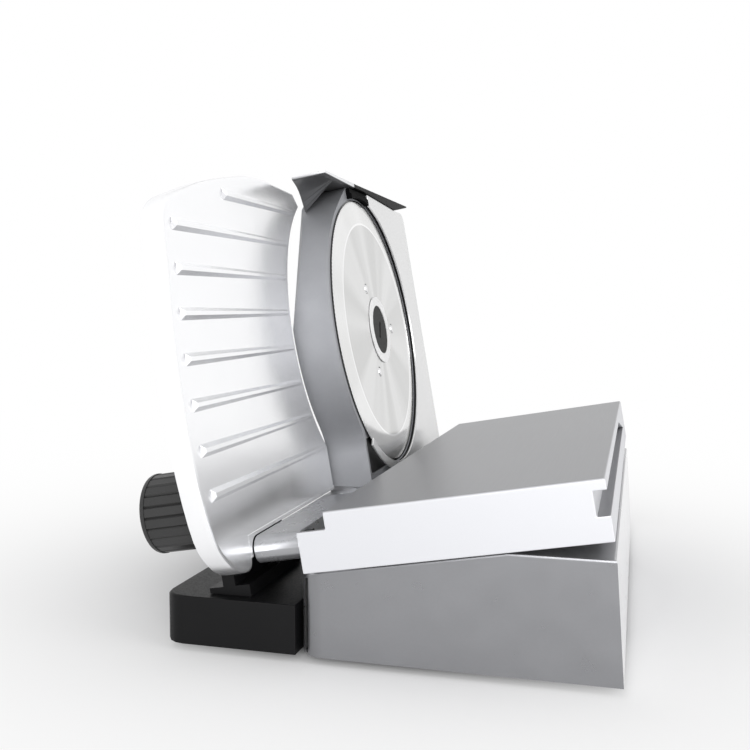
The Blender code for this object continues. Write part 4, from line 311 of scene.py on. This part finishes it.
def make_floor():
    """A pale floor that fades to white away from the object and keeps its shadow."""
    bpy.ops.mesh.primitive_plane_add(size=FLOOR_SIZE, location=(0.0, 0.0, 0.0))
    floor = bpy.context.object
    floor.name = "floor"
    material = bpy.data.materials.new("floor")
    material.use_nodes = True
    material.node_tree.nodes.clear()
    graph = Graph(material.node_tree)
    place = graph.place()
    away = graph.vector("LENGTH", place).outputs["Value"]
    past = graph.math("MAXIMUM", graph.math("SUBTRACT", away, FADE_START), 0.0)
    left = graph.math("EXPONENT", graph.math("DIVIDE", past, -FADE_LENGTH))
    fade = graph.math("SUBTRACT", 1.0, left)
    tone = graph.mix(graph.noise(place, FLOOR_CLOUDS), FLOOR_PALE, FLOOR_DEEP)
    diffuse = graph.add("ShaderNodeBsdfDiffuse", {"Color": tone})
    glow = graph.add("ShaderNodeEmission", {"Color": WHITE, "Strength": SEEN_WHITE})
    share = graph.math("MULTIPLY", fade, seen_share(graph))
    graph.add("ShaderNodeOutputMaterial", {0: shader_mix(graph, share, diffuse, glow)})
    floor.data.materials.append(material)


def new_material(name):
    material = bpy.data.materials.new(name)
    material.use_nodes = True
    material.node_tree.nodes.clear()
    graph = Graph(material.node_tree)
    shader = graph.add("ShaderNodeBsdfPrincipled")
    graph.add("ShaderNodeOutputMaterial", {0: shader.outputs[0]})
    return material, graph, shader


def darker(colour, share):
    return tuple(part * share for part in colour)


def by_facing(graph, direction, low, high):
    """How far a surface faces a direction, from 0 at low to 1 at high."""
    normal = graph.add("ShaderNodeTexCoord").outputs["Normal"]
    facing = graph.vector("DOT_PRODUCT", normal, direction).outputs["Value"]
    return graph.spread(facing, 0.0, 1.0, low, high)


def head_place(graph):
    """A point's distance from the blade's axis, its place along that axis, and its way out from it."""
    shift = -(TO_HEAD @ BLADE_CENTRE)
    inputs = {"Vector": graph.place(), "Location": shift, "Rotation": (0.0, TILT, 0.0)}
    local = graph.add("ShaderNodeMapping", inputs).outputs[0]
    flat = graph.vector("MULTIPLY", local, (0.0, 1.0, 1.0)).outputs[0]
    radius = graph.vector("LENGTH", flat).outputs["Value"]
    return radius, graph.parts(local)[0], flat


def lay_over(material, share_of, tone):
    """Lays another tone over a finished material. share_of takes its graph and says how much, and where."""
    graph = Graph(material.node_tree)
    shader = next(node for node in material.node_tree.nodes if node.type == "BSDF_PRINCIPLED")
    outside = shader.inputs["Base Color"].links[0].from_socket
    graph.fill(shader, {"Base Color": graph.mix(share_of(graph), outside, tone)})
    return material


def facing_painted_light(material, direction, low, high, tone):
    """Paints light or shade on the faces that are turned in a direction, as the tones above say."""
    return lay_over(material, lambda graph: by_facing(graph, direction, low, high), tone)


def painted_opening_shade(material, radius, lip=0.0):
    """Paints shade on what lies in the blade's opening, whose wall is in shadow: on its far side, and low
    down on its near side too.
    """
    def opening_shade_mask(graph):
        away, along, flat = head_place(graph)
        edge = graph.math("ADD", graph.spread(along, lip, 0.0, LIP_START, LIP_END), radius)
        far_side = graph.math("GREATER_THAN", graph.parts(flat)[1], 0.0)
        wedge = graph.math("LESS_THAN", graph.parts(flat)[2], WEDGE_TOP)
        shallow = graph.math("GREATER_THAN", along, OPENING_DEPTH)
        shown = graph.math("MULTIPLY", graph.math("MAXIMUM", far_side, wedge), shallow)
        return graph.math("MULTIPLY", graph.math("LESS_THAN", away, edge), shown)

    return lay_over(material, opening_shade_mask, SHADOW_TONE)


def painted(name, colour, metallic, rough, tint=1.0, patch=0.95):
    """Satin paint or bare metal: soft patches of tone, fine grain and faint wear in the sheen."""
    material, graph, shader = new_material(name)
    place = graph.place()
    fine = graph.noise(place, PAINT_GRAIN, roughness=0.6)
    patches = graph.spread(graph.noise(place, PAINT_PATCHES, detail=3.0), 0.0, 1.0)
    tone = graph.mix(patches, darker(colour, patch), colour)
    tone = graph.mix(graph.spread(fine, 0.0, FLECK_SHARE), tone, darker(colour, FLECK_TONE))
    sheen = graph.uneven(graph.noise(place, PAINT_WEAR, detail=4.0), rough, PAINT_SHEEN)
    bump = graph.bump(fine, PAINT_BUMP, PAINT_GRAIN_HEIGHT)
    graph.fill(shader, {"Base Color": tone, "Roughness": sheen, "Normal": bump})
    graph.fill(shader, {"Metallic": metallic, "Specular Tint": (tint, tint, tint)})
    return material


def drawn_sheet(name, top, sides):
    """The tray: brushed sheet on top and a rougher satin skirt, the top darker and the skirt paler, partly
    as painted shade and light.
    """
    material, graph, shader = new_material(name)
    place = graph.place()
    drawn = graph.add("ShaderNodeMapping", {"Vector": place, "Scale": SHEET_DRAWN}).outputs[0]
    lines = graph.noise(drawn, SHEET_LINES, detail=4.0, roughness=0.65)
    fine = graph.noise(place, SHEET_GRAIN, roughness=0.6)
    patches = graph.spread(graph.noise(place, SHEET_PATCHES), 0.0, FLECK_SHARE)
    brushed_and_shaded_top = graph.mix(graph.spread(lines, 0.0, 1.0), darker(top, SHEET_LINE_TONE), top)
    brushed_and_shaded_top = graph.mix(patches, brushed_and_shaded_top, darker(top, SHEET_PATCH_TONE))
    flecks = graph.spread(fine, 0.0, FLECK_SHARE)
    satin_and_lit_skirt = graph.mix(flecks, sides, darker(sides, SKIRT_FLECK_TONE))
    on_top = by_facing(graph, HEAD_UP, *TOP_FACING)
    off_top = graph.math("SUBTRACT", 1.0, on_top)
    rougher = graph.math("MULTIPLY", off_top, SKIRT_EXTRA_ROUGH)
    sheen = graph.math("ADD", graph.spread(lines, *SHEET_ROUGH), rougher)
    metal = graph.math("ADD", graph.math("MULTIPLY", on_top, SHEET_EXTRA_METAL), SKIRT_METAL)
    bump = graph.bump(graph.math("ADD", lines, fine), SHEET_BUMP, SHEET_BUMP_HEIGHT)
    # Partly painted shade on the top and painted light on the skirt, over their own finishes.
    tone = graph.mix(on_top, satin_and_lit_skirt, brushed_and_shaded_top)
    graph.fill(shader, {"Base Color": tone, "Roughness": sheen, "Normal": bump, "Metallic": metal})
    graph.fill(shader, {"Specular Tint": (SHEET_TINT, SHEET_TINT, SHEET_TINT)})
    return material


def turned_steel(name, disc, rim, line, metallic, rough, anisotropy):
    """Blade steel: fine turned rings; a paler ground rim, partly painted reflection; a painted highlight
    line; and sectors of painted reflection.
    """
    material, graph, shader = new_material(name)
    radius, _, flat = head_place(graph)
    ring_point = graph.add("ShaderNodeCombineXYZ", {"X": radius}).outputs[0]
    rings = graph.noise(ring_point, TURNED_RINGS, detail=3.0, roughness=0.6)
    bands = graph.noise(ring_point, TURNED_BANDS)
    unit = graph.vector("NORMALIZE", flat).outputs[0]
    reflection_sectors = graph.noise(unit, REFLECTION_SECTOR_SCALE, detail=1.0)
    off_line = graph.math("ABSOLUTE", graph.math("SUBTRACT", radius, PAINTED_HIGHLIGHT_RADIUS))
    # The rim's paler tone is partly painted reflection, and the line over it is a painted highlight.
    tone = graph.mix(graph.spread(radius, 0.0, 1.0, RIM_START, RIM_FULL), disc, rim)
    tone = graph.mix(graph.spread(off_line, 1.0, 0.0, HIGHLIGHT_CORE, HIGHLIGHT_END), tone, line)
    tone = graph.mix(graph.spread(rings, RING_SHARE, 0.0), tone, RING_TONE)
    tone = graph.mix(graph.spread(bands, 0.0, BAND_SHARE), tone, BAND_TONE)
    # Sectors of painted reflection.
    tone = graph.mix(graph.spread(reflection_sectors, 0.0, REFLECTION_SECTOR_SHARE, *REFLECTION_SECTOR_EDGES), tone, REFLECTION_SECTOR_TONE)
    sheen = graph.uneven(rings, rough, TURNED_SHEEN)
    bump = graph.bump(rings, TURNED_BUMP, TURNED_BUMP_HEIGHT)
    around = graph.vector("CROSS_PRODUCT", unit, (1.0, 0.0, 0.0)).outputs[0]
    inputs = {"Vector": around, "Rotation": (0.0, -TILT, 0.0)}
    tangent = graph.add("ShaderNodeMapping", inputs, vector_type="VECTOR").outputs[0]
    graph.fill(shader, {"Base Color": tone, "Roughness": sheen, "Normal": bump, "Tangent": tangent})
    graph.fill(shader, {"Metallic": metallic, "Anisotropic": anisotropy})
    return material


def moulded(name, colour, rough, specular=0.2):
    """Moulded plastic or rubber with a fine spark-eroded grain."""
    material, graph, shader = new_material(name)
    place = graph.place()
    inputs = {"Vector": place, "Scale": PLASTIC_CELLS}
    cells = graph.add("ShaderNodeTexVoronoi", inputs).outputs["Distance"]
    clouds = graph.spread(graph.noise(place, PLASTIC_CLOUDS, detail=3.0), 0.0, 1.0)
    tone = graph.mix(clouds, darker(colour, PLASTIC_CLOUD_TONE), colour)
    sheen = graph.uneven(cells, rough, PLASTIC_SHEEN, 0.0, 1.0)
    bump = graph.bump(cells, PLASTIC_BUMP, PLASTIC_BUMP_HEIGHT)
    graph.fill(shader, {"Base Color": tone, "Roughness": sheen, "Normal": bump})
    graph.fill(shader, {"Specular IOR Level": specular})
    return material


def dress(material, *names):
    """Gives nodes a material. A name that ends in _ stands for each node whose name starts with it."""
    for name, node in NODES.items():
        if name in names or name.startswith(tuple(part for part in names if part.endswith("_"))):
            node.data.materials.clear()
            node.data.materials.append(material)


def dress_head():
    """Motor housing, its cover and front plate, and what lies in the blade's opening and above it."""
    silver = {"colour": (0.31, 0.315, 0.332), "metallic": 0.65, "rough": 0.6}
    housing = painted("housing_silver", **silver)
    # Painted shade on the housing's wall round the blade.
    dress(painted_opening_shade(housing, OPENING_RADIUS, HOUSING_LIP), "blade_housing")
    dress(painted("cover_silver", **silver), "rear_cover")
    plate = painted("plate_paint", (0.72, 0.72, 0.72), metallic=0.6, rough=0.2)
    # Painted shade on the front plate's edge round the blade.
    dress(painted_opening_shade(plate, OPENING_RADIUS, PLATE_LIP), "front_plate")
    backing = painted("backing_silver", (0.4, 0.403, 0.41), metallic=0.5, rough=0.5)
    # Painted shade on the far side of the backing behind the blade.
    dress(painted_opening_shade(backing, WHOLE_HEAD), "blade_backing")
    hood = painted("hood_silver", (0.8, 0.805, 0.82), metallic=0.4, rough=0.36)
    # Painted shade on the hood's underside.
    dress(facing_painted_light(hood, *HOOD_UNDERSIDE_SHADE), "roof_hood")
    dress(moulded("deep_black", (0.004, 0.004, 0.0042), rough=0.5, specular=0.01), "top_insert")
    dress(moulded("cap_plastic", (0.01, 0.01, 0.01), rough=0.45, specular=0.04), "roof_cap")


def dress_base():
    """The base, and the ledge that the food slides over."""
    base = painted("base_silver", (0.27, 0.272, 0.284), metallic=0.75, rough=0.3)
    # Painted light on the base's right side.
    facing_painted_light(base, *PAINTED_LIGHT_RIGHT)
    # Painted light on the base's top, which lies in the tray's shadow.
    facing_painted_light(base, *PAINTED_LIGHT_TOP)
    dress(base, "base_body")
    ledge = painted("ledge_silver", (0.42, 0.425, 0.44), metallic=0.7, rough=0.28, tint=0.7)
    # Painted light on the ledge's right end.
    dress(facing_painted_light(ledge, *PAINTED_LIGHT_RIGHT), "food_ledge")
    dress(moulded("rubber", (0.015, 0.015, 0.015), rough=0.8), "foot_", "cord_gland")


def dress_fence():
    """The thickness plate, with painted shade on its rib ends and its back, and its trim."""
    fence = painted("fence_silver", (0.97, 0.972, 0.985), metallic=0.78, rough=0.24, patch=0.98)
    # Painted shade on the rib ends, against their highlights, and on the plate's back.
    facing_painted_light(fence, *RIB_END_SHADE)
    facing_painted_light(fence, *FENCE_BACK_SHADE)
    dress(fence, "fence_plate")
    make_sill_trim(fence)
    dress(moulded("knob_plastic", (0.03, 0.03, 0.03), rough=0.36, specular=0.4), "thickness_knob")


def dress_carriage():
    # The tray's darker top and paler skirt are partly painted shade and light.
    tray = drawn_sheet("tray_steel", top=(0.43, 0.432, 0.445), sides=(0.65, 0.655, 0.68))
    dress(tray, "carriage_tray")


def dress_blade():
    tones = {"disc": (0.6, 0.6, 0.595), "rim": (0.78, 0.78, 0.775), "line": (0.98, 0.98, 0.98)}
    steel = turned_steel("blade_steel", **tones, metallic=0.9, rough=0.16, anisotropy=0.6)
    dress(steel, "blade")
    dress(moulded("lock_plastic", (0.012, 0.012, 0.012), rough=0.5, specular=0.12), "blade_lock")
    dress(moulded("white_plastic", (0.85, 0.85, 0.85), rough=0.35), "hub_ring")


def dress_small_parts():
    """Screws, pins and rods, the drive, and the black plastic parts."""
    bright = painted("polished_steel", (0.8, 0.8, 0.81), metallic=1.0, rough=0.16)
    dress(bright, "blade_hub", "blade_screw_", "cover_screw_", "carriage_rod", "guide_pin",
          "follower_pin", "worm_shaft", "motor_can")
    dark = painted("dark_steel", (0.10, 0.10, 0.105), metallic=0.8, rough=0.4)
    dress(dark, "blade_gear", "motor_rotor", "motor_end_cap", "motor_mount", "worm_bearing",
          "base_bottom_plate")
    black = moulded("black_plastic", (0.006, 0.006, 0.0065), rough=0.45, specular=0.15)
    dress(black, "base_side_tray", "rod_bearing_", "glide_post", "glide_rail", "cam_post", "cam_drum",
          "cooling_fan", "switch_", "ledge_plug", "fence_carrier")


def head_point(x, y, z):
    """A place in the head, as a place in the world."""
    return TO_WORLD @ Vector((x, y, z)) + BLADE_CENTRE


def sill_outline():
    """The trim's outline in the head's Y and Z, with an arc round the ledge's nose."""
    radius = NOSE_RADIUS + NOSE_GAP
    arc = []
    for step in range(NOSE_STEPS + 1):
        angle = NOSE_START + NOSE_TURN * step / NOSE_STEPS
        arc.append((NOSE_Y + radius * math.cos(angle), NOSE_Z + radius * math.sin(angle)))
    top = [(TRIM_NEAR, TRIM_TOP), (TRIM_FAR, TRIM_TOP), (TRIM_FAR, NOSE_Z + radius)]
    return top + arc + [(TRIM_NEAR, TRIM_FOOT)]


def make_sill_trim(material):
    """Trim round the thickness plate's cut-out, which moves with the plate."""
    mesh = bpy.data.meshes.new("fence_sill_trim")
    build = bmesh.new()
    face = build.faces.new([build.verts.new(head_point(TRIM_BACK, y, z)) for y, z in sill_outline()])
    grown = bmesh.ops.extrude_face_region(build, geom=[face])
    moved = [item for item in grown["geom"] if isinstance(item, bmesh.types.BMVert)]
    reach = TO_WORLD @ Vector((TRIM_FRONT - TRIM_BACK, 0.0, 0.0))
    bmesh.ops.translate(build, verts=moved, vec=reach)
    bmesh.ops.recalc_face_normals(build, faces=build.faces)
    build.to_mesh(mesh)
    build.free()
    trim = bpy.data.objects.new("fence_sill_trim", mesh)
    link_to_scene(trim)
    round_edges(trim, TRIM_ROUND)
    mesh.materials.append(material)
    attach(trim, "thickness_plate")


def add_modifier(piece, name, kind, **settings):
    with_settings(piece.modifiers.new(name, kind), **settings)


def round_edges(piece, width):
    limit = {"limit_method": "ANGLE", "angle_limit": EDGE_ANGLE}
    add_modifier(piece, "edge", "BEVEL", width=width, segments=EDGE_STEPS, **limit)


def geometry_group(name):
    """A geometry node group: the group, its graph, and the socket that the geometry comes from."""
    tree = bpy.data.node_groups.new(name, "GeometryNodeTree")
    for way in ("INPUT", "OUTPUT"):
        tree.interface.new_socket("Geometry", in_out=way, socket_type="NodeSocketGeometry")
    graph = Graph(tree)
    return tree, graph, graph.add("NodeGroupInput").outputs[0]


def plain_group():
    """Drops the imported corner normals, so that the welded mesh is shaded afresh."""
    tree, graph, start = geometry_group("plain")
    inputs = {"Mesh": start, "Remove Custom": True}
    plain = graph.add("GeometryNodeSetMeshNormal", inputs, mode="SHARPNESS")
    graph.add("NodeGroupOutput", {0: plain.outputs[0]})
    return tree


def crisp_group(limit):
    """Smooth shading that breaks at edges sharper than a limit."""
    tree, graph, start = geometry_group("crisp")
    faces = graph.add("GeometryNodeSetShadeSmooth", {"Geometry": start}, domain="FACE").outputs[0]
    angle = graph.add("GeometryNodeInputMeshEdgeAngle").outputs["Unsigned Angle"]
    sharp = graph.add("FunctionNodeCompare", {0: angle, 1: limit}, operation="GREATER_THAN").outputs[0]
    inputs = {"Geometry": faces, "Selection": sharp, "Shade Smooth": False}
    edges = graph.add("GeometryNodeSetShadeSmooth", inputs, domain="EDGE")
    graph.add("NodeGroupOutput", {0: edges.outputs[0]})
    return tree


def shade_nodes():
    """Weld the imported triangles, round the outer edges a little, and shade curved faces smooth."""
    plain = plain_group()
    usual = crisp_group(CRISP_ANGLE)
    soft = {name: crisp_group(angle) for name, angle in SOFT_ANGLES.items()}
    for name, node in NODES.items():
        add_modifier(node, "plain", "NODES", node_group=plain)
        add_modifier(node, "weld", "WELD", merge_threshold=WELD_REACH)
        if name not in soft:
            add_modifier(node, "whole", "DECIMATE", decimate_type="DISSOLVE", angle_limit=FLAT_ANGLE)
        if name in EDGE_ROUNDS:
            round_edges(node, EDGE_ROUNDS[name])
        add_modifier(node, "crisp", "NODES", node_group=soft.get(name, usual))
        if name not in soft:
            add_modifier(node, "flat", "WEIGHTED_NORMAL", keep_sharp=True, weight=LARGE_FACE_WEIGHT)


bpy.context.scene.view_settings.view_transform = "Standard"
make_camera()
make_world()
make_floor()
make_lamps()
dress_head()
dress_base()
dress_fence()
dress_carriage()
dress_blade()
dress_small_parts()
shade_nodes()
